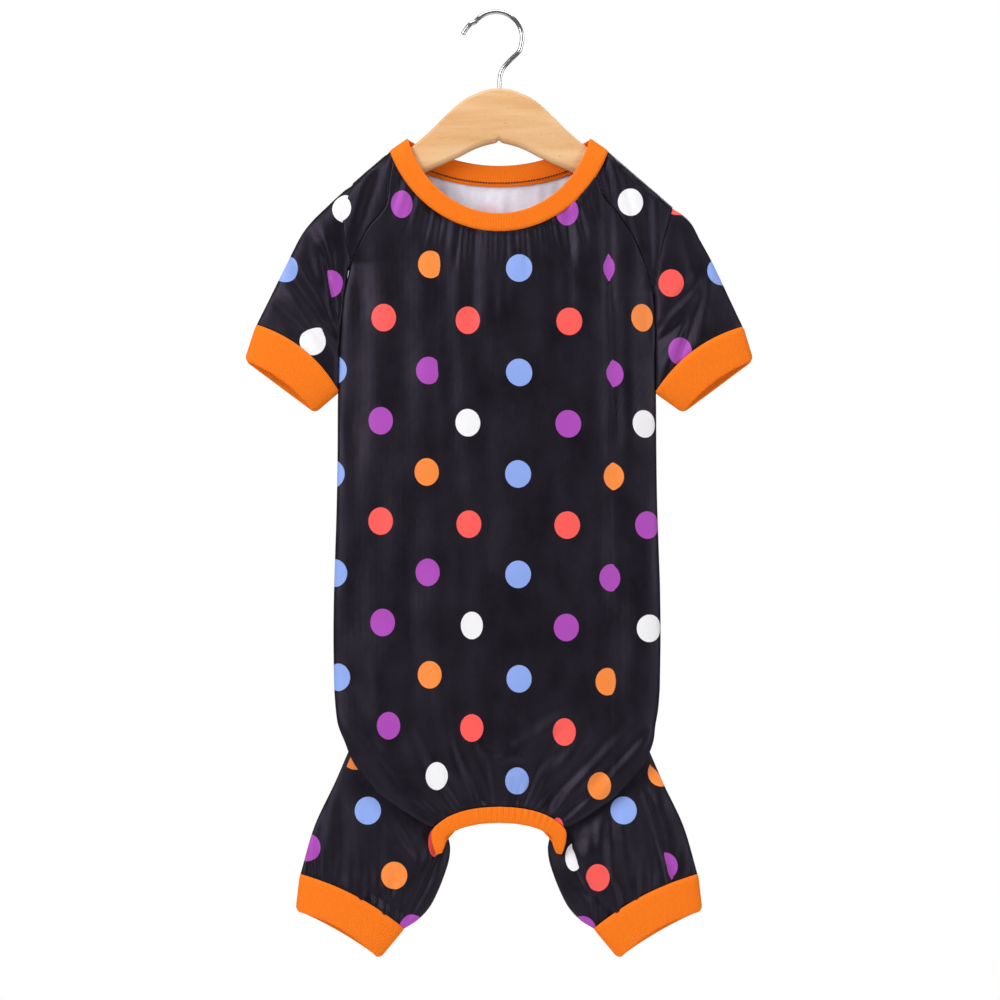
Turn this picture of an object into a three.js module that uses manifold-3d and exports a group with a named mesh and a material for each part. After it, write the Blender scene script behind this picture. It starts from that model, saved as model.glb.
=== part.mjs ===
// A dog's polka-dot pyjama costume on a wooden hanger with a wire hook.
// Millimetres, +Z up. The panel over the dog's back faces -Y. The origin is the inner top of the hook.
import * as THREE from "three";
import { mergeVertices } from "three/addons/utils/BufferGeometryUtils.js";
import Module from "manifold-3d";

// Walls and seams
const CLOTH = 1.2; // printed knit
const RIB = 2.2; // rib knit, folded double
const HALF_GAP = 0.24; // what each piece keeps from its seam line
const SIDE_POWER = 0.6; // how round the folded sides of the body are
const TUBE_POWER = 0.55; // how round the edges of sleeves, legs and cuffs are
const BACK_WIDTH = 210; // across the panels, for the gaps at their side seams
const BELLY_WIDTH = 170;

// Neck: two ellipses about one centre in front, two shallow curves on the hidden side
const NECK_CENTRE = -70;
const NECK_SEAM = { half: 87, drop: 92.9, end: 69.5 };
const NECK_FOLD = { half: 71.4, drop: 79.85, end: 72.8, depth: 10.5 };
const HIDDEN_SEAM = { low: -126.5, power: 2.1 };
const HIDDEN_FOLD = { low: -113, power: 2 };
const BAND = { width: 14, lift: 0.4, power: 0.35 };

// Shoulder ridge, where the cloth folds over the arms of the hanger
const RIDGE = { slope: 40.8, nose: 8 };
const SHOULDER_SPREAD = { size: 45, rise: 55 }; // how the body's lens widens above the armpit

// Body: half width and half depth at each height
const BODY = [
  { z: -506.9, half: 123.75, depth: 13.4 },
  { z: -439.4, half: 124.5, depth: 13.8 },
  { z: -379.4, half: 123.75, depth: 13.8 },
  { z: -326.9, half: 122.25, depth: 13.6 },
  { z: -289.4, half: 121.5, depth: 13.2 },
  { z: -251.9, half: 120, depth: 12.6 },
  { z: -214.4, half: 117, depth: 11.6 },
  { z: -186.6, half: 111.75, depth: 10.8 },
  { z: -150, half: 111.75, depth: 9.8 },
  { z: -100, half: 111.75, depth: 9 },
];
const BODY_END = BODY[0];

// Lower body: where each row meets the folded lower edge, where it crosses the middle, and how it rolls
const HEM = [
  { r: 2, x: 123.75, z: -506.9, mid: -506.9, wrap: 135, centre: 0, front: 13.4, back: 13.4 },
  { r: 2.12, x: 122.25, z: -521.9, mid: -519, wrap: 133, centre: -0.6, front: 13, back: 12 },
  { r: 2.23, x: 119.25, z: -534.6, mid: -530, wrap: 122, centre: -1.8, front: 11.8, back: 8 },
  { r: 2.34, x: 114.75, z: -548.1, mid: -541, wrap: 112, centre: -3.2, front: 10.2, back: 3.4 },
  { r: 2.45, x: 109.5, z: -559.4, mid: -550.5, wrap: 114, centre: -4.4, front: 9, back: 3.2 },
  { r: 2.55, x: 102, z: -570.6, mid: -559.5, wrap: 116, centre: -5.2, front: 8, back: 3.2 },
  { r: 2.66, x: 91.5, z: -581.9, mid: -568.5, wrap: 118, centre: -5.8, front: 7, back: 3.2 },
  { r: 2.77, x: 77.25, z: -593.1, mid: -577.5, wrap: 118, centre: -6.2, front: 6, back: 3.2 },
  { r: 2.86, x: 66, z: -600.6, mid: -584.5, wrap: 118, centre: -6.5, front: 5, back: 3.2 },
  { r: 2.94, x: 54, z: -607.4, mid: -590.5, wrap: 116, centre: -6.8, front: 4, back: 3.2 },
  { r: 3, x: 47.8, z: -609.6, mid: -594.4, wrap: 110, centre: -7, front: 3, back: 3.2 },
];
const ARCH_POWER = 2.6;
const LEG_TOP = 2.34; // the row at which the leg starts

// Belly panel below that row: its edge along the leg seam, and its middle
const BELLY = [
  { r: 2.34, x: 106.4, y: -1.3, z: -547.5, mid: -541 },
  { r: 2.44, x: 99, y: 6, z: -556, mid: -548 },
  { r: 2.56, x: 87, y: 9.4, z: -568.5, mid: -556 },
  { r: 2.7, x: 72, y: 10.2, z: -583, mid: -564 },
  { r: 2.85, x: 56, y: 10.4, z: -598, mid: -572.5 },
  { r: 3, x: 41, y: 10.4, z: -612, mid: -580.5 },
];
const BELLY_SHAPE = { depth: 12.6, power: 2.2 };

// Seams and outlines of the two sides, x measured outwards from the middle
const LEFT = {
  name: "left",
  sign: -1,
  armpit: -186.6,
  neckStart: 66,
  neckShare: 0.07,
  ridgeLength: 37,
  raglan: [
    { x: 81.75, z: -124.35 },
    { x: 84.75, z: -143.85 },
    { x: 98.25, z: -161.1 },
    { x: 111.75, z: -186.6 },
  ],
  sleeveSeam: [
    { x: 112.5, z: -135.6 },
    { x: 117, z: -155.85 },
    { x: 111.75, z: -186.6 },
  ],
  sleeveOuter: [
    { x: 126.75, z: -142.35 },
    { x: 145.5, z: -161.85 },
    { x: 158.25, z: -185.85 },
    { x: 182, z: -233.6 },
  ],
  sleeveInner: [
    { x: 112.1, z: -187.2 },
    { x: 116.9, z: -210.6 },
    { x: 119.4, z: -236.85 },
    { x: 120.7, z: -259.35 },
    { x: 121.6, z: -283.5 },
  ],
};
const RIGHT = {
  name: "right",
  sign: 1,
  armpit: -208,
  neckStart: 56.7,
  neckShare: 0.2,
  ridgeLength: 64.5,
  raglan: [
    { x: 79.5, z: -137.1 },
    { x: 97.5, z: -161.85 },
    { x: 108, z: -184.35 },
    { x: 116.3, z: -208 },
  ],
  sleeveSeam: [
    { x: 126.75, z: -158.1 },
    { x: 123, z: -171.6 },
    { x: 116.3, z: -208 },
  ],
  sleeveOuter: [
    { x: 143.25, z: -155.85 },
    { x: 150.75, z: -169.35 },
    { x: 159.75, z: -185.85 },
    { x: 183, z: -235 },
  ],
  sleeveInner: [
    { x: 116.7, z: -208.8 },
    { x: 118.2, z: -222 },
    { x: 119.8, z: -242 },
    { x: 120.9, z: -262 },
    { x: 121.6, z: -284 },
  ],
};
const SLEEVE = { length: 100, depth: 8, least: 4, bow: -7.8, settle: 0.4 };
// bow: how far the mouth's edge in front curves up; drop: how much lower its hidden layer hangs;
// gap: how far below the seam line the thicker cuff starts
const SLEEVE_CUFF = {
  outer: { x: 190.6, z: -260.1 },
  inner: { x: 138.4, z: -299 },
  depth: 8.4,
  bow: -4.7,
  drop: 4.7,
  gap: 0.8,
};
const LEG = {
  outer: [
    { x: 111.5, z: -549.4 },
    { x: 114.9, z: -557.4 },
    { x: 123.4, z: -577 },
    { x: 138.4, z: -609 },
    { x: 149, z: -645.2 },
  ],
  inner: [
    { x: 38.5, z: -615.5 },
    { x: 36.6, z: -626 },
    { x: 39, z: -640 },
    { x: 50, z: -666.5 },
    { x: 60, z: -678.5 },
    { x: 71.4, z: -686 },
  ],
  length: 80,
  bow: -5.1,
  depth: 8.6,
  settle: 0.35,
  tuck: 0.5, // how far its top stays behind the panels
  leastDepth: 4.5,
  leastHalf: 2.4,
};
const CUFF = { length: 24, lift: 0.3 };
const LEG_CUFF = {
  outer: { x: 152.2, z: -672.4 },
  inner: { x: 90, z: -708.3 },
  depth: 8.6,
  bow: -5.5,
  drop: 3.6,
  gap: 0.55,
};

// Folds: a soft trough (depth below 0) or ridge along the line from (x0, z0) to (x1, z1)
const FRONT_FOLDS = [
  { x0: -44, z0: -176, x1: -37, z1: -345, width: 7, depth: -2.2 },
  { x0: -36, z0: -352, x1: -24, z1: -480, width: 7, depth: -1.8 },
  { x0: -16, z0: -176, x1: -17, z1: -245, width: 6, depth: -1.9 },
  { x0: -106, z0: -245, x1: -108, z1: -440, width: 9, depth: -2 },
  { x0: -74, z0: -330, x1: -70, z1: -500, width: 9, depth: -1.8 },
  { x0: 84, z0: -150, x1: 86, z1: -360, width: 5, depth: -3.2 },
  { x0: 87, z0: -360, x1: 96, z1: -455, width: 6, depth: -2.2 },
  { x0: 72, z0: -200, x1: 74, z1: -420, width: 8, depth: 1.4 },
  { x0: 30, z0: -182, x1: 36, z1: -300, width: 8, depth: -1.3 },
  { x0: -60, z0: -190, x1: -58, z1: -330, width: 8, depth: 1.3 },
  { x0: 60, z0: -470, x1: 64, z1: -560, width: 9, depth: -1.6 },
  { x0: -100, z0: -545, x1: -62, z1: -592, width: 6, depth: -2.4 },
  { x0: -106, z0: -520, x1: -50, z1: -592, width: 6, depth: -2 },
  { x0: -72, z0: -528, x1: -36, z1: -588, width: 5, depth: -2 },
  { x0: -30, z0: -528, x1: -20, z1: -580, width: 5, depth: -1.8 },
  { x0: -2, z0: -528, x1: 6, z1: -545, width: 6, depth: -2 },
  { x0: 18, z0: -536, x1: 30, z1: -528, width: 5, depth: -1.8 },
  { x0: 26, z0: -588, x1: 72, z1: -534, width: 6, depth: -2.4 },
  { x0: 38, z0: -594, x1: 100, z1: -540, width: 6, depth: -2.4 },
];
const HIDDEN_FOLDS = [
  { x0: 64, z0: -170, x1: 58, z1: -360, width: 8, depth: -2 },
  { x0: 22, z0: -160, x1: 26, z1: -300, width: 7, depth: -1.6 },
  { x0: -28, z0: -165, x1: -34, z1: -400, width: 8, depth: -2 },
  { x0: -72, z0: -240, x1: -66, z1: -470, width: 8, depth: -1.8 },
  { x0: 52, z0: -500, x1: 30, z1: -575, width: 7, depth: -1.8 },
  { x0: -50, z0: -505, x1: -28, z1: -575, width: 7, depth: -1.8 },
];
const SLEEVE_FOLDS = [
  { x0: 122, z0: -160, x1: 150, z1: -215, width: 6, depth: -1.6 },
  { x0: 118, z0: -196, x1: 140, z1: -240, width: 5, depth: -1.8 },
  { x0: 138, z0: -160, x1: 162, z1: -215, width: 6, depth: -1.2 },
];
const LEG_FOLDS = [
  { x0: 104, z0: -566, x1: 106, z1: -630, width: 6, depth: -1.6 },
  { x0: 84, z0: -596, x1: 82, z1: -648, width: 5, depth: -1.7 },
  { x0: 62, z0: -606, x1: 58, z1: -662, width: 6, depth: -2 },
  { x0: 130, z0: -600, x1: 128, z1: -640, width: 6, depth: -1.2 },
];
const FOLD_TAPER = 14; // length over which a fold dies out past its ends

// Gathers: waves along a seam, their height there and how fast they fade
const NECK_GATHERS = { waves: 20, height: 0.9, fade: 2.75 };
const ARCH_GATHERS = { waves: 17, height: 1, fade: 4.5 };
const LEG_GATHERS = { waves: 14, height: 0.8, fade: 5 };

// Rear binding: its sewn edge, the way its free edge points, and its width
const BINDING_THICK = 2.4;
const BINDING_WAVE = { waves: 17, height: 0.35, half: 40 };
const BINDING_STATIONS = 66;
const BINDING_SECTION = [[0, 0.35], [0.5, 0.5], [1, 0.3], [1, -0.3], [0.5, -0.5], [0, -0.35]];
const BINDING = [
  { x: 0, y: -11, z: -595.1, ax: 0, ay: 0, az: -1, width: 10.6 },
  { x: 13.4, y: -11, z: -595.9, ax: -0.06, ay: 0, az: -1, width: 10.6 },
  { x: 26.3, y: -10.7, z: -598.3, ax: -0.2, ay: 0, az: -0.98, width: 10.6 },
  { x: 36.5, y: -10.3, z: -602.1, ax: -0.4, ay: 0, az: -0.92, width: 10.4 },
  { x: 44, y: -9.9, z: -607, ax: -0.62, ay: 0, az: -0.78, width: 10 },
  { x: 48.6, y: -9.6, z: -612, ax: -0.86, ay: 0, az: -0.5, width: 8.6 },
  { x: 49, y: -9.3, z: -618, ax: -0.98, ay: 0, az: -0.2, width: 6.2 },
  { x: 47.8, y: -8.8, z: -625, ax: -1, ay: 0, az: 0, width: 3.4 },
  { x: 46.4, y: -7.6, z: -628.6, ax: -0.9, ay: 0, az: 0.3, width: 2.4 },
  { x: 43.6, y: -6.6, z: -623, ax: -0.9, ay: 0, az: 0.3, width: 3 },
  { x: 38.4, y: -5.6, z: -614, ax: -0.9, ay: 0, az: 0.1, width: 4.4 },
  { x: 35, y: -1, z: -606.5, ax: -0.9, ay: 0, az: -0.3, width: 6.5 },
  { x: 33.6, y: 6, z: -602, ax: -0.8, ay: 0, az: -0.6, width: 8 },
  { x: 28.6, y: 11.2, z: -595.8, ax: -0.6, ay: 0, az: -0.8, width: 9.6 },
  { x: 15, y: 12.4, z: -585, ax: -0.3, ay: 0, az: -0.95, width: 10.2 },
  { x: 0, y: 12.8, z: -581.2, ax: 0, ay: 0, az: -1, width: 10.4 },
];

// Hanger
const WOOD_HALF_DEPTH = 5;
const WOOD = [
  { x: 0, top: -55.6, bottom: -96.2 },
  { x: 6, top: -56.2, bottom: -97.5 },
  { x: 12, top: -57.8, bottom: -99.1 },
  { x: 18, top: -60.1, bottom: -101.3 },
  { x: 24, top: -63, bottom: -104.2 },
  { x: 30, top: -67.2, bottom: -107.4 },
  { x: 36.75, top: -73.2, bottom: -110.4 },
  { x: 43, top: -79.2, bottom: -113.3 },
  { x: 49.65, top: -85.9, bottom: -116.2 },
  { x: 61.7, top: -96.6, bottom: -121.6 },
  { x: 75, top: -106, bottom: -127.4 },
  { x: 90, top: -114.6, bottom: -133 },
  { x: 100, top: -121.2, bottom: -136.2 },
  { x: 105, top: -125.6, bottom: -137.4 },
  { x: 107.6, top: -128.6, bottom: -136.4 },
  { x: 108.6, top: -131.4, bottom: -134.4 },
];
const WOOD_ROUND = { reach: 0.6, over: 1.6, side: 0.45, edge: 0.7 }; // round ends, then the section's powers
const WIRE_RADIUS = 1.7;
const WIRE_HOLE = { radius: 2.1, above: 8, beyond: 1.8 };
const HOOK = { x: -2.25, z: -17.85, radius: 19.7, from: 148, to: -8 };
const HOOK_TIP = [
  { x: -27.2, z: -15.4 },
  { x: -25.4, z: -12.4 },
  { x: -21.4, z: -6.6 },
];
const HOOK_NECK = [
  { x: 15.4, z: -27.4 },
  { x: 8.25, z: -34.6 },
  { x: 2.6, z: -41.6 },
  { x: 0.75, z: -48 },
  { x: 0.75, z: -60 },
  { x: 0.75, z: -91 },
];

const DEGREE = Math.PI / 180;
const mix = (a, b, t) => a + (b - a) * t;
const clamp = (x) => Math.min(Math.max(x, 0), 1);
const smooth = (x) => clamp(x) ** 2 * (3 - 2 * clamp(x));

// One column of a table as a smooth curve through its rows
function read(table, key, column, at) {
  const last = table.length - 1;
  const x = Math.min(Math.max(at, table[0][key]), table[last][key]);
  let k = 0;
  while (k < last - 1 && x > table[k + 1][key]) k += 1;
  const slope = (i) => {
    const before = table[Math.max(i - 1, 0)];
    const after = table[Math.min(i + 1, last)];
    return (after[column] - before[column]) / (after[key] - before[key]);
  };
  const [from, to] = [table[k], table[k + 1]];
  const step = to[key] - from[key];
  const t = (x - from[key]) / step;
  const ease = t * t * (3 - 2 * t);
  const bend = step * t * (1 - t);
  return mix(from[column], to[column], ease) + bend * (slope(k) * (1 - t) - slope(k + 1) * t);
}

// A route through the rows of a table, measured from 0 to 1 along its chords
function route(rows) {
  const length = [0];
  rows.slice(1).forEach((row, k) => {
    const before = rows[k];
    const gap = Math.hypot(row.x - before.x, row.z - before.z, (row.y ?? 0) - (before.y ?? 0));
    length.push(length[k] + gap);
  });
  const total = length[length.length - 1];
  const keyed = rows.map((row, k) => ({ ...row, t: length[k] / total }));
  return (t, column) => read(keyed, "t", column, t);
}

const at = (line, t) => ({ x: line(t, "x"), z: line(t, "z") });
const onEllipse = (ring, degrees) => ({
  x: ring.half * Math.sin(degrees * DEGREE),
  z: NECK_CENTRE - ring.drop * Math.cos(degrees * DEGREE),
});
const neckPoint = onEllipse(NECK_SEAM, NECK_SEAM.end);
const peakPoint = onEllipse(NECK_FOLD, NECK_FOLD.end);
const along = { x: Math.cos(RIDGE.slope * DEGREE), z: -Math.sin(RIDGE.slope * DEGREE) };

// The hidden side's two neck curves, at a share of the way out to the shoulder
const hiddenCurve = (curve, end, share) => ({
  x: end.x * share,
  z: mix(curve.low, end.z, Math.abs(share) ** curve.power),
});

function finishSide(side) {
  const ridgeEnd = {
    x: neckPoint.x + along.x * side.ridgeLength,
    z: neckPoint.z + along.z * side.ridgeLength,
  };
  const start = onEllipse(NECK_SEAM, side.neckStart);
  const hiddenStart = hiddenCurve(HIDDEN_SEAM, neckPoint, start.x / neckPoint.x - 0.005);
  return {
    ...side,
    hiddenStart,
    raglanFront: route([start, ...side.raglan]),
    raglanHidden: route([hiddenStart, ...side.raglan]),
    sleeveEdge: route([ridgeEnd, ...side.sleeveSeam]),
    outerLine: route([ridgeEnd, ...side.sleeveOuter]),
    innerLine: route(side.sleeveInner),
  };
}
const sides = [finishSide(LEFT), finishSide(RIGHT)];
const sideAt = (x) => sides[x < 0 ? 0 : 1];

// How far the cloth of the body lies from the middle plane, front and hidden side alike
function bodyDepth(x, z) {
  const side = sideAt(x);
  const over = z - side.armpit;
  const spread = SHOULDER_SPREAD.size * Math.sin((Math.PI / 2) * clamp(over / SHOULDER_SPREAD.rise));
  const half = read(BODY, "z", "half", Math.min(z, side.armpit)) + spread;
  const lens = clamp(1 - (x / half) ** 2) ** (SIDE_POWER / 2) * read(BODY, "z", "depth", z);
  const below = (Math.abs(x) - neckPoint.x) * along.z - (z - neckPoint.z) * along.x;
  const roof = Math.sqrt(2 * RIDGE.nose * Math.max(below, 0));
  if (lens < 1e-6 || roof < 1e-6) return 0;
  return (lens ** -4 + roof ** -4) ** -0.25;
}

// A patch between four edges
function patch(top, bottom, left, right) {
  const corner = [top(0), top(1), bottom(0), bottom(1)];
  return (u, v) => {
    const [t, b, l, r] = [top(u), bottom(u), left(v), right(v)];
    const blend = (k) =>
      mix(t[k], b[k], v) + mix(l[k], r[k], u) -
      mix(mix(corner[0][k], corner[1][k], u), mix(corner[2][k], corner[3][k], u), v);
    return { x: blend("x"), z: blend("z") };
  };
}
const signed = (sign, point) => ({ x: sign * point.x, z: point.z });
const edgeOf = (side, line) => (t) =>
  signed(side.sign, { x: line(t, "x"), z: line(t, "z") });

// Rows of the body from the armpits (r = 1) down to r = 2, and the lower body to r = 3
function bodyRing(degrees, r) {
  const turn = Math.sin(degrees * DEGREE);
  const facing = Math.cos(degrees * DEGREE);
  const [left, right] = sides;
  if (r <= 2) {
    const level = 1 - smooth((r - 1) / 0.3);
    const middle = mix((left.armpit + right.armpit) / 2, BODY_END.z, r - 1);
    const tilt = ((right.armpit - left.armpit) / 2) * level;
    const xLeft = -read(BODY, "z", "half", middle - tilt);
    const xRight = read(BODY, "z", "half", middle + tilt);
    const x = (xLeft + xRight) / 2 + ((xRight - xLeft) / 2) * turn;
    const z = middle + tilt * turn;
    return [x, -Math.sign(facing) * bodyDepth(x, z), z];
  }
  const row = (column) => read(HEM, "r", column, r);
  const z = mix(row("mid"), row("z"), Math.abs(turn) ** ARCH_POWER);
  const deep = (facing > 0 ? -row("front") : row("back")) * Math.abs(facing) ** SIDE_POWER;
  return [row("x") * turn, row("centre") + deep, z];
}
const wrapAt = (r) => (r <= 2 ? 90 + 45 * smooth((r - 1) / 0.35) : read(HEM, "r", "wrap", r));

// Back panel: gathered to the neck in front, round the sides, and rolled under at the rear
const frontPatch = patch(
  (u) => onEllipse(NECK_SEAM, mix(-sides[0].neckStart, sides[1].neckStart, u)),
  (u) => {
    const [x, , z] = bodyRing(mix(-90, 90, u), 1);
    return { x, z };
  },
  edgeOf(sides[0], sides[0].raglanFront),
  edgeOf(sides[1], sides[1].raglanFront),
);
function backPanel(u, r) {
  const inset = HALF_GAP / BACK_WIDTH;
  const uIn = mix(inset, 1 - inset, u);
  if (r < 1) {
    const { x, z } = frontPatch(uIn, r);
    return [x, -bodyDepth(x, z), z];
  }
  return bodyRing(wrapAt(r) * (2 * uIn - 1), r);
}

// Belly panel: the hidden side between the wrapped edges of the back panel
const hiddenPatch = patch(
  (u) => {
    const from = sides[1].hiddenStart.x / neckPoint.x;
    const to = -sides[0].hiddenStart.x / neckPoint.x;
    return hiddenCurve(HIDDEN_SEAM, neckPoint, mix(from, to, u));
  },
  (u) => {
    const [x, , z] = bodyRing(mix(90, 270, u), 1);
    return { x, z };
  },
  edgeOf(sides[1], sides[1].raglanHidden),
  edgeOf(sides[0], sides[0].raglanHidden),
);
function bellyEdge(r) {
  if (r > LEG_TOP) return ["x", "y", "z"].map((k) => read(BELLY, "r", k, r));
  return bodyRing(wrapAt(r), r);
}
function bellyPanel(u, r) {
  const inset = HALF_GAP / BELLY_WIDTH;
  const uIn = mix(inset, 1 - inset, u);
  if (r < 1) {
    const { x, z } = hiddenPatch(uIn, r);
    return [x, bodyDepth(x, z), z];
  }
  const wrap = wrapAt(r);
  if (r <= 2) return bodyRing(mix(wrap, 360 - wrap, uIn), r);
  const [xe, ye, ze] = bellyEdge(r);
  const across = Math.cos(Math.PI * uIn);
  const ringTurn = Math.sin(mix(wrapAt(2), 360 - wrapAt(2), uIn) * DEGREE);
  const settle = smooth((r - 2) / 0.3);
  const share = mix(ringTurn / Math.sin(wrapAt(2) * DEGREE), across, settle);
  const x = xe * share;
  const mid = r > LEG_TOP ? read(BELLY, "r", "mid", r) : read(HEM, "r", "mid", r);
  const deep = mix(BODY_END.depth, BELLY_SHAPE.depth, settle);
  const z = mix(mid, ze, Math.abs(share) ** BELLY_SHAPE.power);
  const dome = mix(ye, deep, clamp(1 - share ** 2) ** 0.5);
  const ring = BODY_END.depth * clamp(1 - (x / BODY_END.half) ** 2) ** (SIDE_POWER / 2);
  return [x, mix(ring, dome, settle), z];
}

// Shoulder piece: from the front armpit up over the ridge and down to the hidden armpit,
// along the neck first and then along the raglan seam, at the same rows as the panels
const PANEL_ROWS = [0.004, 0.1, 0.22, 0.36, 0.52, 0.68, 0.82, 0.92, 1];
const NECK_STEPS = [0, 0.03, 0.12, 0.3, 0.6, 1];
function shoulderColumns(side) {
  const onSeam = PANEL_ROWS.slice(1, -1).map((q) => mix(side.neckShare, 1, q));
  return [...NECK_STEPS.map((q) => q * side.neckShare), ...onSeam];
}
function neckEdge(side, down, hidden) {
  const q = down / side.neckShare;
  if (q >= 1) {
    const seam = hidden ? side.raglanHidden : side.raglanFront;
    return at(seam, (down - side.neckShare) / (1 - side.neckShare));
  }
  if (hidden) {
    return hiddenCurve(HIDDEN_SEAM, neckPoint, mix(1, side.hiddenStart.x / neckPoint.x, q));
  }
  return onEllipse(NECK_SEAM, mix(NECK_SEAM.end, side.neckStart, q));
}
function shoulder(side) {
  const list = shoulderColumns(side);
  return (u, v) => {
    const s = 2 * u - 1;
    const place = Math.abs(s) * (list.length - 1);
    const k = Math.min(Math.floor(place), list.length - 2);
    const down = mix(list[k], list[k + 1], place - k);
    const { x: x0, z: z0 } = neckEdge(side, down, s > 0);
    const { x: x1, z: z1 } = at(side.sleeveEdge, down);
    const inset = HALF_GAP / Math.hypot(x1 - x0, z1 - z0);
    const share = mix(inset, 1 - inset, v);
    const [x, z] = [mix(x0, x1, share), mix(z0, z1, share)];
    return [side.sign * x, Math.sign(s) * bodyDepth(side.sign * x, z), z];
  };
}

// A point of a flat tube: u runs from its outer edge over the front to its inner edge and back behind
function chordPoint(outer, inner, share, bow) {
  const [dx, dz] = [inner.x - outer.x, inner.z - outer.z];
  const length = Math.hypot(dx, dz);
  const rise = (bow * 4 * share * (1 - share)) / length;
  return { x: mix(outer.x, inner.x, share) - dz * rise, z: mix(outer.z, inner.z, share) + dx * rise };
}
function roundTube(u) {
  const angle = 2 * Math.PI * u;
  return { share: (1 - Math.cos(angle)) / 2, facing: -Math.sign(Math.sin(angle)),
    deep: Math.abs(Math.sin(angle)) ** TUBE_POWER };
}

function sleeve(side) {
  return (u, t) => {
    const { share, facing, deep } = roundTube(u);
    const down = mix(HALF_GAP / SLEEVE.length, 1 - HALF_GAP / SLEEVE.length, t);
    const chord = chordPoint(at(side.outerLine, down), at(side.innerLine, down), share, 0);
    const bowed = chordPoint(at(side.outerLine, down), at(side.innerLine, down), share, SLEEVE.bow);
    const seam = at(side.sleeveEdge, share);
    const seamChord = chordPoint(at(side.outerLine, 0), at(side.innerLine, 0), share, 0);
    const hold = 1 - smooth(down / SLEEVE.settle);
    const end = smooth(down / 0.9) ** 2;
    const pick = (k) => chord[k] + (seam[k] - seamChord[k]) * hold + (bowed[k] - chord[k]) * end;
    const atSeam = Math.max(bodyDepth(side.sign * seam.x, seam.z), SLEEVE.least * deep);
    const depth = mix(SLEEVE.depth * deep, atSeam, hold);
    return [side.sign * pick("x"), facing * depth, pick("z")];
  };
}

function cuff(side, top, topBow, bottom, topDepth) {
  return (u, t) => {
    const { share, facing, deep } = roundTube(u);
    const down = mix(bottom.gap / CUFF.length, 1, t);
    const outer = { x: mix(top.outer.x, bottom.outer.x, down), z: mix(top.outer.z, bottom.outer.z, down) };
    const inner = { x: mix(top.inner.x, bottom.inner.x, down), z: mix(top.inner.z, bottom.inner.z, down) };
    const behind = facing > 0 ? bottom.drop * down : 0;
    const point = chordPoint(outer, inner, share, mix(topBow, bottom.bow, down) + behind);
    return [side.sign * point.x, facing * mix(topDepth, bottom.depth, down) * deep, point.z];
  };
}

const legOuter = route(LEG.outer);
const legInner = route(LEG.inner);
function legTop(share, facing) {
  const r = mix(LEG_TOP, 3, share);
  const ends = [at(legOuter, 0), at(legInner, 0)];
  const curve = (q) => {
    const [x, y, z] = facing < 0 ? bodyRing(wrapAt(q), q) : bellyEdge(Math.max(q, LEG_TOP + 1e-6));
    return { x, y, z };
  };
  const [first, last, here] = [curve(LEG_TOP), curve(3), curve(r)];
  const pull = (k) => (ends[0][k] - first[k]) * (1 - share) ** 4 + (ends[1][k] - last[k]) * share ** 4;
  const y = facing < 0 ? here.y + LEG.tuck : Math.max(here.y, LEG.leastDepth);
  const aside = facing > 0 ? LEG.tuck : 0;
  return { x: here.x + pull("x") + aside, y, z: here.z + pull("z") - aside };
}
function leg(side) {
  return (u, t) => {
    const { share, facing, deep } = roundTube(u);
    const down = mix(0, 1 - HALF_GAP / LEG.length, t);
    const chord = chordPoint(at(legOuter, down), at(legInner, down), share, 0);
    const bowed = chordPoint(at(legOuter, down), at(legInner, down), share, LEG.bow);
    const start = chordPoint(at(legOuter, 0), at(legInner, 0), share, 0);
    const [front, hidden] = [legTop(share, -1), legTop(share, 1)];
    const top = facing < 0 ? front : hidden;
    const hold = 1 - smooth(down / LEG.settle);
    const end = smooth(down / 0.9) ** 2;
    const inside = Math.min(1, 6 * share) * Math.min(1, 6 * (1 - share));
    const pick = (k) => chord[k] + (top[k] - start[k]) * hold * inside + (bowed[k] - chord[k]) * end;
    const middle = (front.y + hidden.y) / 2;
    const half = Math.max((hidden.y - front.y) / 2, LEG.leastHalf);
    const stay = 1 - smooth((down - 0.12) / 0.3);
    const y = mix(facing * LEG.depth * deep, middle + facing * half * deep, stay);
    return [side.sign * pick("x"), y, pick("z")];
  };
}

// Neck band: from its seam to its folded edge, round the neck and over both shoulders
function neckBand(u, v) {
  const angle = 2 * Math.PI * u - Math.PI / 2;
  const [swing, facing] = [Math.sin(angle), Math.cos(angle) > 0 ? -1 : 1];
  const seam = facing < 0
    ? onEllipse(NECK_SEAM, NECK_SEAM.end * swing)
    : hiddenCurve(HIDDEN_SEAM, neckPoint, swing);
  const fold = facing < 0
    ? onEllipse(NECK_FOLD, NECK_FOLD.end * swing)
    : hiddenCurve(HIDDEN_FOLD, peakPoint, swing);
  const seamDepth = bodyDepth(seam.x, seam.z);
  const foldDepth = NECK_FOLD.depth * Math.abs(Math.cos(angle)) ** BAND.power;
  const share = mix((2 * HALF_GAP) / BAND.width, 1, v);
  return [
    mix(seam.x, fold.x, share),
    facing * mix(seamDepth, foldDepth, share),
    mix(seam.z, fold.z, share),
  ];
}

// Height of the folds and gathers over a piece's plain surface
function foldHeight(folds, x, z) {
  return folds.reduce((sum, fold) => {
    const [dx, dz] = [fold.x1 - fold.x0, fold.z1 - fold.z0];
    const length = Math.hypot(dx, dz);
    const run = ((x - fold.x0) * dx + (z - fold.z0) * dz) / length;
    const off = ((x - fold.x0) * dz - (z - fold.z0) * dx) / length / fold.width;
    const past = Math.max(-run, run - length, 0) / FOLD_TAPER;
    return sum + fold.depth * Math.exp(-off * off - past * past);
  }, 0);
}
const wave = (count, t) => Math.cos(2 * Math.PI * count * t) * (0.8 + 0.2 * Math.sin(17 * t + 1));
const fromEdge = (y) => smooth(Math.abs(y) / 7);

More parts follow.
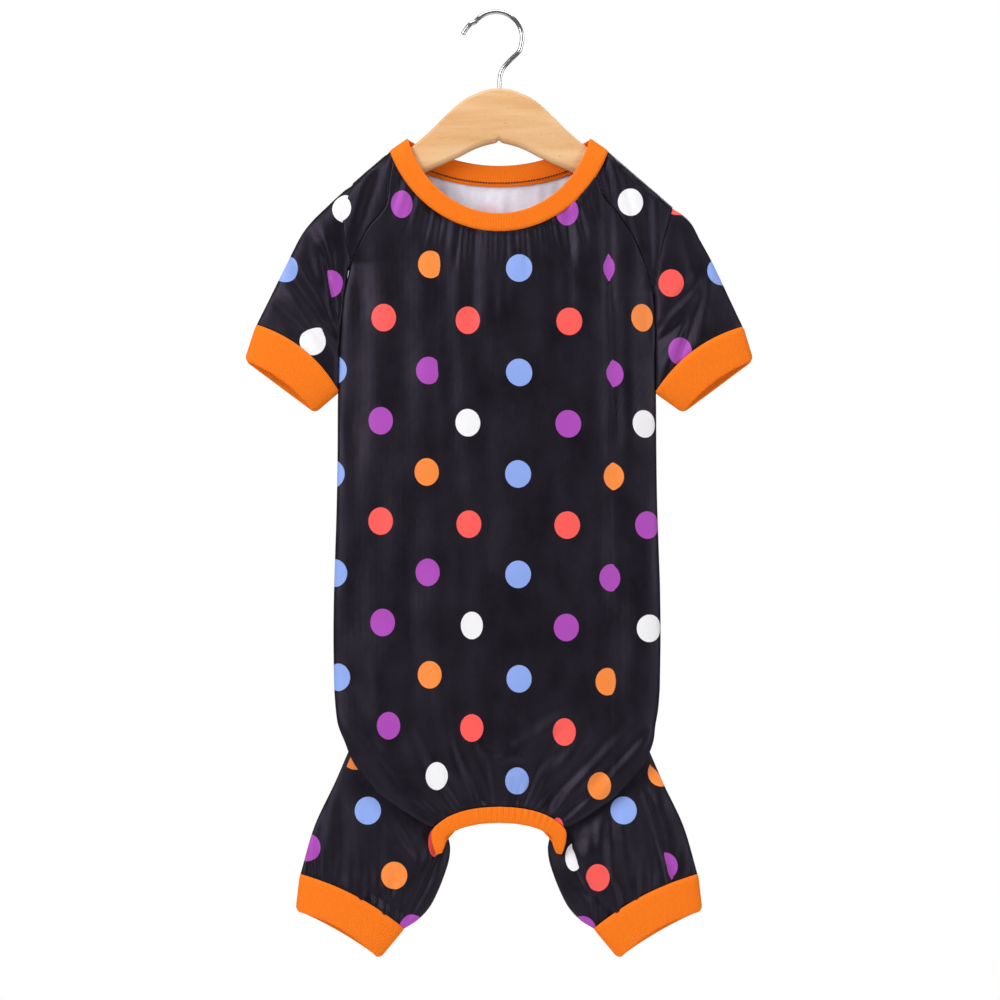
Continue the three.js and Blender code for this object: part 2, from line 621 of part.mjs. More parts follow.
function backHeight(u, r, [x, y, z]) {
  const folds = y < 0 ? foldHeight(FRONT_FOLDS, x, z) : foldHeight(HIDDEN_FOLDS, x, z);
  const neck = Math.exp(-r * NECK_GATHERS.fade) * wave(NECK_GATHERS.waves, u);
  const arch = Math.exp(-(3 - r) * ARCH_GATHERS.fade) * wave(ARCH_GATHERS.waves, u);
  return fromEdge(y) * (folds + NECK_GATHERS.height * neck) + ARCH_GATHERS.height * arch * fromEdge(y - 1);
}
const bellyHeight = (u, r, [x, y, z]) =>
  fromEdge(y) * foldHeight(HIDDEN_FOLDS, x, z) * smooth((3 - r) * 6);
const sleeveHeight = (side) => (u, t, [x, y, z]) =>
  fromEdge(y) * foldHeight(SLEEVE_FOLDS, x * side.sign, z) * smooth(t * 4);
const legHeight = (side) => (u, t, [x, y, z]) => {
  const gathers = Math.exp(-(1 - t) * LEG_GATHERS.fade) * wave(LEG_GATHERS.waves, u);
  const folds = foldHeight(LEG_FOLDS, x * side.sign, z) * smooth((t - 0.15) * 5);
  return fromEdge(y) * (folds + LEG_GATHERS.height * gathers);
};

// Triangles between two neighbouring rows, which may hold different numbers of points
function stitch(from, to, closed) {
  const faces = [];
  const [spanA, spanB] = [from, to].map((row) => row.length - (closed ? 0 : 1));
  let [a, b] = [0, 0];
  while (a < spanA || b < spanB) {
    const [nowA, nowB] = [from[a % from.length], to[b % to.length]];
    if (b === spanB || (a < spanA && (a + 1) / spanA <= (b + 1) / spanB + 1e-9)) {
      faces.push([nowA, from[(a + 1) % from.length], nowB]);
      a += 1;
    } else {
      faces.push([nowA, to[(b + 1) % to.length], nowB]);
      b += 1;
    }
  }
  return faces;
}

// A wall of cloth on a surface: rows of points, moved out by the folds and in by the thickness
const STEP = 1e-3;
function clothWall({ surface, height, rows, columns, thickness, closed }) {
  const first = rows[0];
  const last = rows[rows.length - 1];
  const tangent = (u, v, du, dv) => {
    const [u0, u1] = closed ? [u - du, u + du] : [Math.max(u - du, 0), Math.min(u + du, 1)];
    const [v0, v1] = [Math.max(v - dv, first), Math.min(v + dv, last)];
    const [a, b] = [surface(u0, v0), surface(u1, v1)];
    return new THREE.Vector3(b[0] - a[0], b[1] - a[1], b[2] - a[2]);
  };
  const samples = rows.map((v) => {
    const count = columns(v);
    return Array.from({ length: closed ? count : count + 1 }, (_, k) => {
      const u = k / count;
      const point = surface(u, v);
      const normal = tangent(u, v, STEP, 0).cross(tangent(u, v, 0, STEP)).normalize();
      return { point, normal, lift: height(u, v, point) };
    });
  });
  const outward = Math.sign(samples.flat().reduce((sum, s) => sum + s.normal.y * s.point[1], 0));
  const points = [];
  const layer = (depth) =>
    samples.map((row) =>
      row.map(({ point, normal, lift }) => {
        const move = outward * (lift - depth);
        points.push([
          point[0] + normal.x * move,
          point[1] + normal.y * move,
          point[2] + normal.z * move,
        ]);
        return points.length - 1;
      }),
    );
  const [outer, inner] = [layer(0), layer(thickness)];
  const faces = [];
  const back = (list) => list.map(([a, b, c]) => [a, c, b]);
  for (let k = 0; k + 1 < rows.length; k += 1) {
    faces.push(...stitch(outer[k], outer[k + 1], closed));
    faces.push(...back(stitch(inner[k], inner[k + 1], closed)));
  }
  faces.push(...back(stitch(outer[0], inner[0], closed)));
  faces.push(...stitch(outer[rows.length - 1], inner[rows.length - 1], closed));
  if (!closed) {
    const side = (pick) => [outer, inner].map((grid) => grid.map(pick));
    const [outerStart, innerStart] = side((row) => row[0]);
    const [outerEnd, innerEnd] = side((row) => row[row.length - 1]);
    faces.push(...stitch(outerStart, innerStart, false));
    faces.push(...back(stitch(outerEnd, innerEnd, false)));
  }
  return solid(points, faces);
}

// A solid through rings of points, closed at its ends or round on itself
function ringSolid(rings, loop) {
  const points = rings.flat();
  const size = rings[0].length;
  const ids = rings.map((ring, k) => ring.map((_, i) => k * size + i));
  const faces = [];
  for (let k = 0; k + 1 < rings.length; k += 1) faces.push(...stitch(ids[k], ids[k + 1], true));
  if (loop) faces.push(...stitch(ids[rings.length - 1], ids[0], true));
  else {
    const end = ids[rings.length - 1];
    for (let i = 1; i + 1 < size; i += 1) {
      faces.push([ids[0][0], ids[0][i + 1], ids[0][i]]);
      faces.push([end[0], end[i], end[i + 1]]);
    }
  }
  return solid(points, faces);
}

function solid(points, faces) {
  const volume = faces.reduce((sum, [a, b, c]) => {
    const [p, q, r] = [points[a], points[b], points[c]];
    return (
      sum +
      p[0] * (q[1] * r[2] - q[2] * r[1]) +
      p[1] * (q[2] * r[0] - q[0] * r[2]) +
      p[2] * (q[0] * r[1] - q[1] * r[0])
    );
  }, 0);
  const turned = volume < 0 ? faces.map(([a, b, c]) => [a, c, b]) : faces;
  const geometry = new THREE.BufferGeometry();
  geometry.setAttribute("position", new THREE.Float32BufferAttribute(points.flat(), 3));
  geometry.setIndex(turned.flat());
  geometry.computeVertexNormals();
  return geometry;
}

const finishes = {
  knit: new THREE.MeshStandardMaterial({ color: 0x1c1a20, roughness: 0.6 }),
  rib: new THREE.MeshStandardMaterial({ color: 0xff7d1a, roughness: 0.85 }),
  wood: new THREE.MeshStandardMaterial({ color: 0xe6c9a0, roughness: 0.45 }),
  chrome: new THREE.MeshStandardMaterial({ color: 0xd8dade, roughness: 0.12, metalness: 1 }),
};
const costume = new THREE.Group();
function add(name, geometry, finish) {
  const mesh = new THREE.Mesh(geometry, finishes[finish]);
  mesh.name = name;
  costume.add(mesh);
}
const steps = (from, to, count) => Array.from({ length: count + 1 }, (_, k) => mix(from, to, k / count));
const sideRows = [...PANEL_ROWS, ...steps(1.11, 2, 8), 2.12, 2.23, 2.34];

add("back_panel", clothWall({
  surface: backPanel,
  height: backHeight,
  rows: [...sideRows, 2.45, 2.55, 2.66, 2.77, 2.89, 2.998],
  columns: (r) => (r < 0.2 ? 80 : r > 2.8 ? 62 : 34),
  thickness: CLOTH,
  closed: false,
}), "knit");

add("belly_panel", clothWall({
  surface: bellyPanel,
  height: bellyHeight,
  rows: [...sideRows, 2.44, 2.56, 2.7, 2.85, 2.995],
  columns: () => 18,
  thickness: CLOTH,
  closed: false,
}), "knit");

sides.forEach((side) => {
  add(`shoulder_${side.name}`, clothWall({
    surface: shoulder(side),
    height: () => 0,
    rows: steps(0, 1, 3),
    columns: () => 2 * (shoulderColumns(side).length - 1),
    thickness: CLOTH,
    closed: false,
  }), "knit");

  add(`sleeve_${side.name}`, clothWall({
    surface: sleeve(side),
    height: sleeveHeight(side),
    rows: [0, 0.1, 0.24, 0.4, 0.6, 0.8, 1],
    columns: () => 28,
    thickness: CLOTH,
    closed: true,
  }), "knit");

  const sleeveEnd = { outer: at(side.outerLine, 1), inner: at(side.innerLine, 1) };
  add(`sleeve_cuff_${side.name}`, clothWall({
    surface: cuff(side, sleeveEnd, SLEEVE.bow, SLEEVE_CUFF, SLEEVE.depth),
    height: () => CUFF.lift,
    rows: [0, 0.5, 1],
    columns: () => 28,
    thickness: RIB,
    closed: true,
  }), "rib");

  add(`leg_${side.name}`, clothWall({
    surface: leg(side),
    height: legHeight(side),
    rows: [0, 0.08, 0.17, 0.28, 0.42, 0.6, 0.82, 1],
    columns: (t) => (t > 0.8 ? 56 : 32),
    thickness: CLOTH,
    closed: true,
  }), "knit");

  const legEnd = { outer: at(legOuter, 1), inner: at(legInner, 1) };
  add(`leg_cuff_${side.name}`, clothWall({
    surface: cuff(side, legEnd, LEG.bow, LEG_CUFF, LEG.depth),
    height: () => CUFF.lift,
    rows: [0, 0.5, 1],
    columns: () => 28,
    thickness: RIB,
    closed: true,
  }), "rib");
});

add("neck_band", clothWall({
  surface: neckBand,
  height: () => BAND.lift,
  rows: [0, 0.5, 1],
  columns: () => 72,
  thickness: RIB,
  closed: true,
}), "rib");

// Rear binding: a flat strip swept round the rear opening
function bindingRings() {
  const half = route(BINDING);
  const columns = ["x", "y", "z", "ax", "ay", "az", "width"];
  const place = (t, sign) => {
    const row = Object.fromEntries(columns.map((k) => [k, half(t, k)]));
    return { ...row, x: sign * row.x, ax: sign * row.ax };
  };
  const stations = [
    ...steps(0, 1, BINDING_STATIONS).map((t) => place(t, 1)),
    ...steps(1, 0, BINDING_STATIONS).slice(1, -1).map((t) => place(t, -1)),
  ];
  return stations.map((here, k) => {
    const before = stations[(k + stations.length - 1) % stations.length];
    const after = stations[(k + 1) % stations.length];
    const travel = new THREE.Vector3(after.x - before.x, after.y - before.y, after.z - before.z);
    const across = new THREE.Vector3(here.ax, here.ay, here.az).normalize();
    const flat = travel.cross(across).normalize();
    const onArch = here.y < -9 ? smooth((BINDING_WAVE.half + 6 - Math.abs(here.x)) / 12) : 0;
    const ripple = BINDING_WAVE.height * onArch *
      Math.cos((Math.PI * BINDING_WAVE.waves * here.x) / BINDING_WAVE.half);
    return BINDING_SECTION.map(([out, side]) => {
      const move = BINDING_THICK * side + ripple;
      return ["x", "y", "z"].map((k) => here[k] + across[k] * out * here.width + flat[k] * move);
    });
  });
}
add("rear_binding", ringSolid(bindingRings(), true), "rib");

// Hanger: flat arms with rounded edges, drilled for the wire
function woodRings() {
  const place = (x) => {
    const [top, bottom] = ["top", "bottom"].map((k) => read(WOOD, "x", k, Math.abs(x)));
    const left = WOOD[WOOD.length - 1].x + WOOD_ROUND.reach - Math.abs(x);
    const thin = Math.min(1, Math.sqrt(Math.max(0, left)) / WOOD_ROUND.over);
    return steps(0, 360, 12).slice(0, -1).map((degrees) => {
      const [s, c] = [Math.sin(degrees * DEGREE), Math.cos(degrees * DEGREE)];
      const y = WOOD_HALF_DEPTH * thin * Math.sign(c) * Math.abs(c) ** WOOD_ROUND.side;
      const rise = ((top - bottom) / 2) * Math.sign(s) * Math.abs(s) ** WOOD_ROUND.edge;
      return [x, y, (top + bottom) / 2 + rise];
    });
  };
  const half = [3, 7, 12, 17, 24, 31, 38, 46, 54, 62, 70, 78, 86, 94, 100, 104, 107, 108.6];
  return [...half.map((x) => -x).reverse(), 0, ...half].map(place);
}

const wasm = await Module();
wasm.setup();
function toManifold(geometry) {
  const bare = geometry.clone();
  bare.deleteAttribute("normal");
  bare.deleteAttribute("uv");
  const merged = mergeVertices(bare, 1e-3);
  return new wasm.Manifold(new wasm.Mesh({
    numProp: 3,
    vertProperties: merged.attributes.position.array,
    triVerts: new Uint32Array(merged.index.array),
  }));
}
function toGeometry(body) {
  const mesh = body.getMesh();
  const geometry = new THREE.BufferGeometry();
  geometry.setAttribute("position", new THREE.Float32BufferAttribute(mesh.vertProperties, 3));
  geometry.setIndex([...mesh.triVerts]);
  geometry.computeVertexNormals();
  return geometry;
}
const wireEnd = HOOK_NECK[HOOK_NECK.length - 1];
const drillTop = WOOD[0].top + WIRE_HOLE.above;
const drillBottom = wireEnd.z - WIRE_HOLE.beyond;
const drill = new THREE.CylinderGeometry(WIRE_HOLE.radius, WIRE_HOLE.radius, drillTop - drillBottom, 12);
drill.rotateX(Math.PI / 2);
drill.translate(wireEnd.x, 0, (drillTop + drillBottom) / 2);
const bored = toManifold(ringSolid(woodRings(), false)).subtract(toManifold(drill));
add("hanger_wood", toGeometry(bored), "wood");

// Hook: a wire bent round, straight into the wood
function hookRings() {
  const arc = steps(HOOK.from, HOOK.to, 20).map((degrees) => ({
    x: HOOK.x + HOOK.radius * Math.cos(degrees * DEGREE),
    z: HOOK.z + HOOK.radius * Math.sin(degrees * DEGREE),
  }));
  const line = new THREE.CatmullRomCurve3(
    [...HOOK_TIP, ...arc, ...HOOK_NECK].map(({ x, z }) => new THREE.Vector3(x, 0, z)),
    false,
    "centripetal",
  );
  const depthWay = new THREE.Vector3(0, 1, 0);
  return steps(0, 1, 46).map((t) => {
    const centre = line.getPointAt(t);
    const sideways = line.getTangentAt(t).cross(depthWay);
    const radius = WIRE_RADIUS * (t < 0.004 ? 0.6 : 1);
    return steps(0, 360, 8).slice(0, -1).map((degrees) => {
      const out = sideways.clone().multiplyScalar(Math.cos(degrees * DEGREE) * radius);
      const point = centre.clone().add(out);
      return [point.x, point.y + Math.sin(degrees * DEGREE) * radius, point.z];
    });
  });
}
add("hanger_hook", ringSolid(hookRings(), false), "chrome");

export default costume;
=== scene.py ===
import math
import random
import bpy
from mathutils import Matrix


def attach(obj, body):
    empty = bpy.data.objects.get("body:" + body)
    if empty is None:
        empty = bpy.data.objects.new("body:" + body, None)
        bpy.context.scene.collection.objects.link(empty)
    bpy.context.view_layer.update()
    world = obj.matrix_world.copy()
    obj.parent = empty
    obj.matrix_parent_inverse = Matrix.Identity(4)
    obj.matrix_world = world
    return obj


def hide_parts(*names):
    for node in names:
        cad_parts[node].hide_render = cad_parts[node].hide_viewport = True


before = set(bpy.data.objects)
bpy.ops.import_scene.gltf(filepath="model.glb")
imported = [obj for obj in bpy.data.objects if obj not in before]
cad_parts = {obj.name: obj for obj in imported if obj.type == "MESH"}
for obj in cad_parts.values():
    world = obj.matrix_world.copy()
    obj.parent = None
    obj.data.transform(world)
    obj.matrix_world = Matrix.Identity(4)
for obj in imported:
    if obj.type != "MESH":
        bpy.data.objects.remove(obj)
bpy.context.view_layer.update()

from types import SimpleNamespace

import bmesh
import bpy
import numpy as np
from mathutils import Vector, noise

# Camera: straight in front of the hanging costume, at the height of the middle of its body,
# far enough away that the flat cloth shows almost no perspective.
distance, picture_width = 3.2, 0.75
lens = bpy.data.cameras.new("camera")
lens.sensor_width = 36
lens.lens = lens.sensor_width * distance / picture_width
lens.clip_end = 40
camera = bpy.data.objects.new("camera", lens)
camera.location = (0.00075, -distance, -0.36435)
camera.rotation_euler = (math.pi / 2, 0, 0)
bpy.context.collection.objects.link(camera)
bpy.context.scene.camera = camera


# Light: a white studio with a large softbox up on the left, a weaker one on the right
# and a strip from above, so that the folds of the dark cloth catch a soft sheen.
def softbox(name, place, look_at, size, watts):
    data = bpy.data.lights.new(name, "AREA")
    data.shape = "RECTANGLE"
    data.size, data.size_y = size
    data.energy = watts
    box = bpy.data.objects.new(name, data)
    box.location = place
    box.rotation_euler = (Vector(look_at) - Vector(place)).to_track_quat("-Z", "Y").to_euler()
    bpy.context.collection.objects.link(box)


softbox("key_left", (-1.5, -1.3, 0.35), (0, 0, -0.35), (1.0, 1.6), 33)
softbox("fill_right", (1.7, -1.2, -0.2), (0, 0, -0.35), (0.9, 1.6), 17)
softbox("top_strip", (0, -0.5, 1.3), (0, 0, -0.3), (1.8, 0.5), 17)
softbox("behind", (0.6, 1.8, 0.5), (0, 0, -0.35), (1.6, 1.6), 22)
world = bpy.data.worlds.new("white studio")
world.use_nodes = True
studio = world.node_tree
backdrop, room = studio.nodes["Background"], studio.nodes.new("ShaderNodeBackground")
backdrop.inputs["Color"].default_value = room.inputs["Color"].default_value = (1, 1, 1, 1)
backdrop.inputs["Strength"].default_value = 1.0
room.inputs["Strength"].default_value = 0.16
seen, either = studio.nodes.new("ShaderNodeLightPath"), studio.nodes.new("ShaderNodeMixShader")
studio.links.new(seen.outputs["Is Camera Ray"], either.inputs[0])
studio.links.new(room.outputs[0], either.inputs[1])
studio.links.new(backdrop.outputs[0], either.inputs[2])
studio.links.new(either.outputs[0], studio.nodes["World Output"].inputs["Surface"])
bpy.context.scene.world = world
bpy.context.scene.view_settings.view_transform = "Standard"


# Hook: a chromed steel wire 3.4 mm thick, bent round and set straight into the wood.
# It is a wire drawn smooth and plated, so it mirrors the white room in long soft streaks.
def linear(code):
    parts = [int(code[k:k + 2], 16) / 255 for k in (0, 2, 4)]
    return (*(c / 12.92 if c <= 0.04045 else ((c + 0.055) / 1.055) ** 2.4 for c in parts), 1)


def put(tree, node, sockets):
    for key, value in sockets.items():
        if isinstance(value, bpy.types.NodeSocket):
            tree.links.new(value, node.inputs[key])
        else:
            node.inputs[key].default_value = value


def add(tree, kind, sockets=(), **settings):
    node = tree.nodes.new("ShaderNode" + kind)
    for key, value in settings.items():
        setattr(node, key, value)
    put(tree, node, dict(sockets))
    return node


def new_material(name):
    material = bpy.data.materials.new(name)
    material.use_nodes = True
    tree = material.node_tree
    return material, tree, tree.nodes["Principled BSDF"]


def own_space(tree, scale=(1.0, 1.0, 1.0)):
    coords = add(tree, "TexCoord").outputs["Object"]
    return add(tree, "Mapping", {"Vector": coords, "Scale": scale}).outputs["Vector"]


def clouds(tree, at, scale, detail, roughness=0.5, distortion=0.0):
    return add(tree, "TexNoise", {"Vector": at, "Scale": scale, "Detail": detail, "Roughness": roughness,
                                  "Distortion": distortion}).outputs["Fac"]


def span(tree, value, low, high, to_low=0.0, to_high=1.0):
    return add(tree, "MapRange", {"Value": value, "From Min": low, "From Max": high, "To Min": to_low,
                                  "To Max": to_high}).outputs["Result"]


def mix(tree, factor, a, b):
    a, b = (linear(colour) if isinstance(colour, str) else colour for colour in (a, b))
    return add(tree, "Mix", {"Factor": factor, "A": a, "B": b}, data_type="RGBA").outputs["Result"]


def bumps(tree, height, strength, distance, under=()):
    return add(tree, "Bump", {"Height": height, "Strength": strength, "Distance": distance,
                              **dict(under)}).outputs["Normal"]


def part_of(tree, a, share, b):
    return add(tree, "Math", {0: a, 1: share, 2: b}, operation="MULTIPLY_ADD").outputs["Value"]


def between(a, b, t):
    return a + (b - a) * t


def hold(x):
    return np.minimum(np.maximum(x, 0.0), 1.0)


def ease(x):
    x = hold(x)
    return x * x * (3 - 2 * x)


def read(table, column, at):
    last = len(table) - 1
    at = min(max(at, table[0][0]), table[last][0])
    k = 0
    while k < last - 1 and at > table[k + 1][0]:
        k += 1

    def slope(i):
        before, after = table[max(i - 1, 0)], table[min(i + 1, last)]
        return (after[column] - before[column]) / (after[0] - before[0])

    start, end = table[k], table[k + 1]
    step = end[0] - start[0]
    t = (at - start[0]) / step
    bend = step * t * (1 - t)
    flat = between(start[column], end[column], t * t * (3 - 2 * t))
    return flat + bend * (slope(k) * (1 - t) - slope(k + 1) * t)


def route(points):
    length = [0.0]
    for a, b in zip(points, points[1:]):
        length.append(length[-1] + math.dist(a[:3], b[:3]))
    keyed = [(s / length[-1], *p) for s, p in zip(length, points)]
    return lambda t: tuple(read(keyed, c, t) for c in range(1, len(keyed[0])))


def grid_points(surface, across, down):
    return np.array([[surface(i / across, j / down) for i in range(across + 1)] for j in range(down + 1)])


def cloth_grid(skin, across, down):
    points = grid_points(skin, across, down)
    u = np.linspace(0, 1, across + 1)[None, :] * np.ones((down + 1, 1))
    v = np.linspace(0, 1, down + 1)[:, None] * np.ones((1, across + 1))
    return points, *np.moveaxis(points, 2, 0), u, v


def running_total(steps):
    return np.concatenate([np.zeros_like(steps[..., :1]), np.cumsum(steps, axis=-1)], axis=-1)


def laid_grid(points, round_u=False, round_v=False, flat=None):
    down, across = points.shape[0] - 1, points.shape[1] - 1
    bm = bmesh.new()
    uv = bm.loops.layers.uv.new("cloth")
    bmesh.ops.create_grid(bm, x_segments=across, y_segments=down, size=1)
    place = {}
    for vert in bm.verts:
        place[vert] = (round((vert.co.y + 1) / 2 * down), round((vert.co.x + 1) / 2 * across))
        vert.co = Vector(points[place[vert]]) * 0.001
    if flat is not None:
        for face in bm.faces:
            for loop in face.loops:
                loop[uv].uv = flat[place[loop.vert]] * 0.001
    if round_u or round_v:
        bmesh.ops.remove_doubles(bm, verts=bm.verts, dist=1e-6)
    return bm


def as_piece(name, bm, material):
    for face in bm.faces:
        face.smooth = True
    mesh = bpy.data.meshes.new(name)
    bm.to_mesh(mesh)
    bm.free()
    piece = bpy.data.objects.new(name, mesh)
    bpy.context.collection.objects.link(piece)
    for m in material if isinstance(material, list) else [material]:
        mesh.materials.append(m)
    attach(piece, "root")
    return piece


chrome, tree, surface = new_material("chrome plated wire")
haze = clouds(tree, add(tree, "NewGeometry").outputs["Position"], 420.0, 3.0)
put(tree, surface, {"Base Color": linear("d3d5d9"), "Metallic": 1.0,
                    "Roughness": span(tree, haze, 0.0, 1.0, 0.07, 0.2)})

hook_arc = [(-2.25 + 19.7 * math.cos(math.radians(a)), -17.85 + 19.7 * math.sin(math.radians(a)))
            for a in range(148, -9, -6)]
hook_line = route([(-27.2, -15.4), (-25.4, -12.4), (-21.6, -7.6), *hook_arc[1:],
                   (15.4, -27.4), (8.25, -34.6), (2.6, -41.6), (0.75, -48), (0.75, -60), (0.75, -90.8)])


WIRE_RADIUS = 1.7


def hook_skin(u, v):
    x, z = hook_line(v)
    (xa, za), (xb, zb) = hook_line(max(v - 0.004, 0)), hook_line(min(v + 0.004, 1))
    run = math.hypot(xb - xa, zb - za)
    radius = WIRE_RADIUS * math.sqrt(hold(1 - hold(1 - min(v, 1 - v) / 0.006) ** 2) * 0.97 + 0.03)
    side = radius * math.cos(2 * math.pi * u)
    return (x + side * (zb - za) / run, radius * math.sin(2 * math.pi * u), z - side * (xb - xa) / run)


bm = laid_grid(grid_points(hook_skin, 20, 260), round_u=True)
bmesh.ops.holes_fill(bm, edges=[e for e in bm.edges if e.is_boundary])
hook = as_piece("hook_wire", bm, chrome)
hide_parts("hanger_hook")

# Wooden hanger: flat-sawn beech 10 mm thick, its edges rounded over on a shaper, sanded and
# lacquered with a satin coat. The grain runs along the arms, with the short dark flecks of beech.
wood_rows = [(0, -55.6, -96.2), (6, -56.2, -97.5), (12, -57.8, -99.1), (18, -60.1, -101.3), (24, -63, -104.2),
             (30, -67.2, -107.4), (36.75, -73.2, -110.4), (43, -79.2, -113.3), (49.65, -85.9, -116.2),
             (61.7, -96.6, -121.6), (75, -106, -127.4), (90, -114.6, -133), (100, -121.2, -136.2),
             (105, -125.6, -137.4), (107.6, -128.6, -136.4), (108.6, -131.4, -134.4)]

beech, tree, surface = new_material("lacquered beech")
rings = clouds(tree, own_space(tree, (9.0, 160.0, 90.0)), 1.0, 5.0, 0.55, 0.4)
flecks = clouds(tree, own_space(tree, (260.0, 900.0, 1500.0)), 1.0, 1.0)
grain = mix(tree, span(tree, rings, 0.3, 0.7), "efc493", "dda66c")
put(tree, surface, {"Base Color": mix(tree, span(tree, flecks, 0.66, 0.74, 0.0, 0.35), grain, "b07c45"),
                    "Normal": bumps(tree, flecks, 0.12, 0.0002),
                    "Roughness": 0.42, "Coat Weight": 0.25, "Coat Roughness": 0.3})


ARM_REACH, WOOD_HALF, TOP_ROUND, LOW_ROUND = 109.0, 5, 2.6, 4.6


def wood_skin(u, v):
    s = 2 * v - 1
    x = math.copysign(ARM_REACH * (1 - (1 - abs(s)) ** 1.15), s)
    top, bottom = read(wood_rows, 1, abs(x)), read(wood_rows, 2, abs(x))
    bottom += 1.6 * math.exp(-(x / 1.3) ** 2)
    thin = min(1, math.sqrt(max(0, 109.2 - abs(x))) / 1.6)
    angle = 360 * u
    corner = int(angle // 90)
    turn = math.radians(angle)
    radius_top, radius_low = min(TOP_ROUND, (top - bottom) * 0.3), min(LOW_ROUND, (top - bottom) * 0.45)
    radius = radius_top if corner in (0, 1) else radius_low
    y = (WOOD_HALF - min(radius, WOOD_HALF)) * (1 if corner in (0, 3) else -1)
    y += min(radius, WOOD_HALF) * math.cos(turn)
    z = (top - radius if corner in (0, 1) else bottom + radius) + radius * math.sin(turn)
    return x, y * thin, z


bm = laid_grid(grid_points(wood_skin, 64, 220), round_u=True)
bmesh.ops.holes_fill(bm, edges=[e for e in bm.edges if e.is_boundary])
hanger = as_piece("wooden_hanger", bm, beech)
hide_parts("hanger_wood")

# Panel over the dog's back: printed polyester knit with a brushed face, gathered to the neck
# band and to the rear binding, folded round both sides and rolled under at the rear.
# Sizes are in millimetres: the neck's two ellipses, the body's rows and the rows of the rear.
CLOTH = 1.0
GAP = 0.03
NECK_CENTRE = -70
neck_seam = SimpleNamespace(half=87, drop=92.9, end=69.5)
neck_fold = SimpleNamespace(half=71.4, drop=79.85, end=72.8, depth=10.5)
hidden_seam = SimpleNamespace(low=-126.5, power=2.1)
hidden_fold = SimpleNamespace(low=-113, power=2)
RIDGE_SLOPE = math.radians(40.8)
RIDGE_NOSE = 8
body_rows = [(-506.9, 122.1, 13.4), (-470, 122.7, 13.7), (-439.4, 122.4, 13.8), (-402, 121.3, 13.8),
             (-364, 120.1, 13.8), (-326.9, 119.6, 13.6), (-289.4, 119.4, 13.2), (-251.9, 118.6, 12.6),
             (-214.4, 116.8, 11.6), (-186.6, 111.75, 10.8), (-150, 111.75, 9.8), (-100, 111.75, 9)]
HIP_Z, HIP_HALF, HIP_DEPTH = -506.9, 122.1, 13.4
# r, edge x and z, middle z, wrap, centre y, front depth, hidden depth
hem_rows = [(2, 122.1, -506.9, -506.9, 135, 0, 13.4, 13.4), (2.12, 120.8, -521.9, -519, 133, -0.6, 13, 12),
            (2.23, 118.3, -534.6, -530, 122, -1.8, 11.8, 8),
            (2.34, 114.2, -548.1, -541, 112, -3.2, 10.2, 3.4),
            (2.45, 109.5, -559.4, -550.5, 114, -4.4, 9, 3.2), (2.55, 102, -570.6, -559.5, 116, -5.2, 8, 3.2),
            (2.66, 91.5, -581.9, -568.5, 118, -5.8, 7, 3.2), (2.77, 77.25, -593.1, -577.5, 118, -6.2, 6, 3.2),
            (2.86, 66, -600.6, -584.5, 118, -6.5, 5, 3.2), (2.94, 54, -607.4, -590.5, 116, -6.8, 4, 3.2),
            (3, 47.8, -609.6, -594.4, 110, -7, 3, 3.2)]
LEG_TOP = 2.34


def on_ellipse(ring, degrees):
    a = math.radians(degrees)
    return ring.half * math.sin(a), NECK_CENTRE - ring.drop * math.cos(a)


neck_point = on_ellipse(neck_seam, neck_seam.end)
peak_point = on_ellipse(neck_fold, neck_fold.end)


def hidden_curve(curve, end, share):
    return end[0] * share, between(curve.low, end[1], abs(share) ** curve.power)


def side_of_body(sign, armpit, neck_start, neck_share, ridge_length, raglan, sleeve_seam, outer, inner):
    ridge_end = (neck_point[0] + math.cos(RIDGE_SLOPE) * ridge_length,
                 neck_point[1] - math.sin(RIDGE_SLOPE) * ridge_length)
    start = on_ellipse(neck_seam, neck_start)
    hidden_start = hidden_curve(hidden_seam, neck_point, start[0] / neck_point[0] - 0.005)
    return SimpleNamespace(
        name="left" if sign < 0 else "right", sign=sign, armpit=armpit, neck_start=neck_start,
        neck_share=neck_share, hidden_start=hidden_start,
        raglan_front=route([start, *raglan]), raglan_hidden=route([hidden_start, *raglan]),
        sleeve_edge=route([ridge_end, *sleeve_seam]), outer_line=route([ridge_end, *outer]),
        inner_line=route(inner))


left = side_of_body(
    -1, -186.6, 66, 0.07, 37,
    [(81.75, -124.35), (84.75, -143.85), (98.25, -161.1), (111.75, -186.6)],
    [(112.5, -135.6), (117, -155.85), (111.75, -186.6)],
    [(126.75, -142.35), (145.5, -161.85), (158.25, -185.85), (182, -233.6)],
    [(110.4, -187.2), (114.9, -210.6), (118.15, -236.85), (119.4, -259.35), (120.3, -283.5)])
right = side_of_body(
    1, -208, 56.7, 0.2, 64.5,
    [(79.5, -137.1), (97.5, -161.85), (108, -184.35), (116.3, -208)],
    [(126.75, -158.1), (123, -171.6), (116.3, -208)],
    [(143.25, -155.85), (150.75, -169.35), (159.75, -185.85), (183, -235)],
    [(116.1, -208.8), (116.6, -222), (117.15, -242), (117.3, -262), (117.5, -284)])


def body_depth(x, z):
    side = left if x < 0 else right
    spread = 45 * math.sin(math.pi / 2 * hold((z - side.armpit) / 55))
    half = read(body_rows, 1, min(z, side.armpit)) + spread
    lens_shape = hold(1 - (x / half) ** 2) ** 0.3 * read(body_rows, 2, z)
    below = -(abs(x) - neck_point[0]) * math.sin(RIDGE_SLOPE) - (z - neck_point[1]) * math.cos(RIDGE_SLOPE)
    roof = math.sqrt(2 * RIDGE_NOSE * max(below, 0))
    if lens_shape < 1e-6 or roof < 1e-6:
        return 0.0
    return (lens_shape ** -4 + roof ** -4) ** -0.25


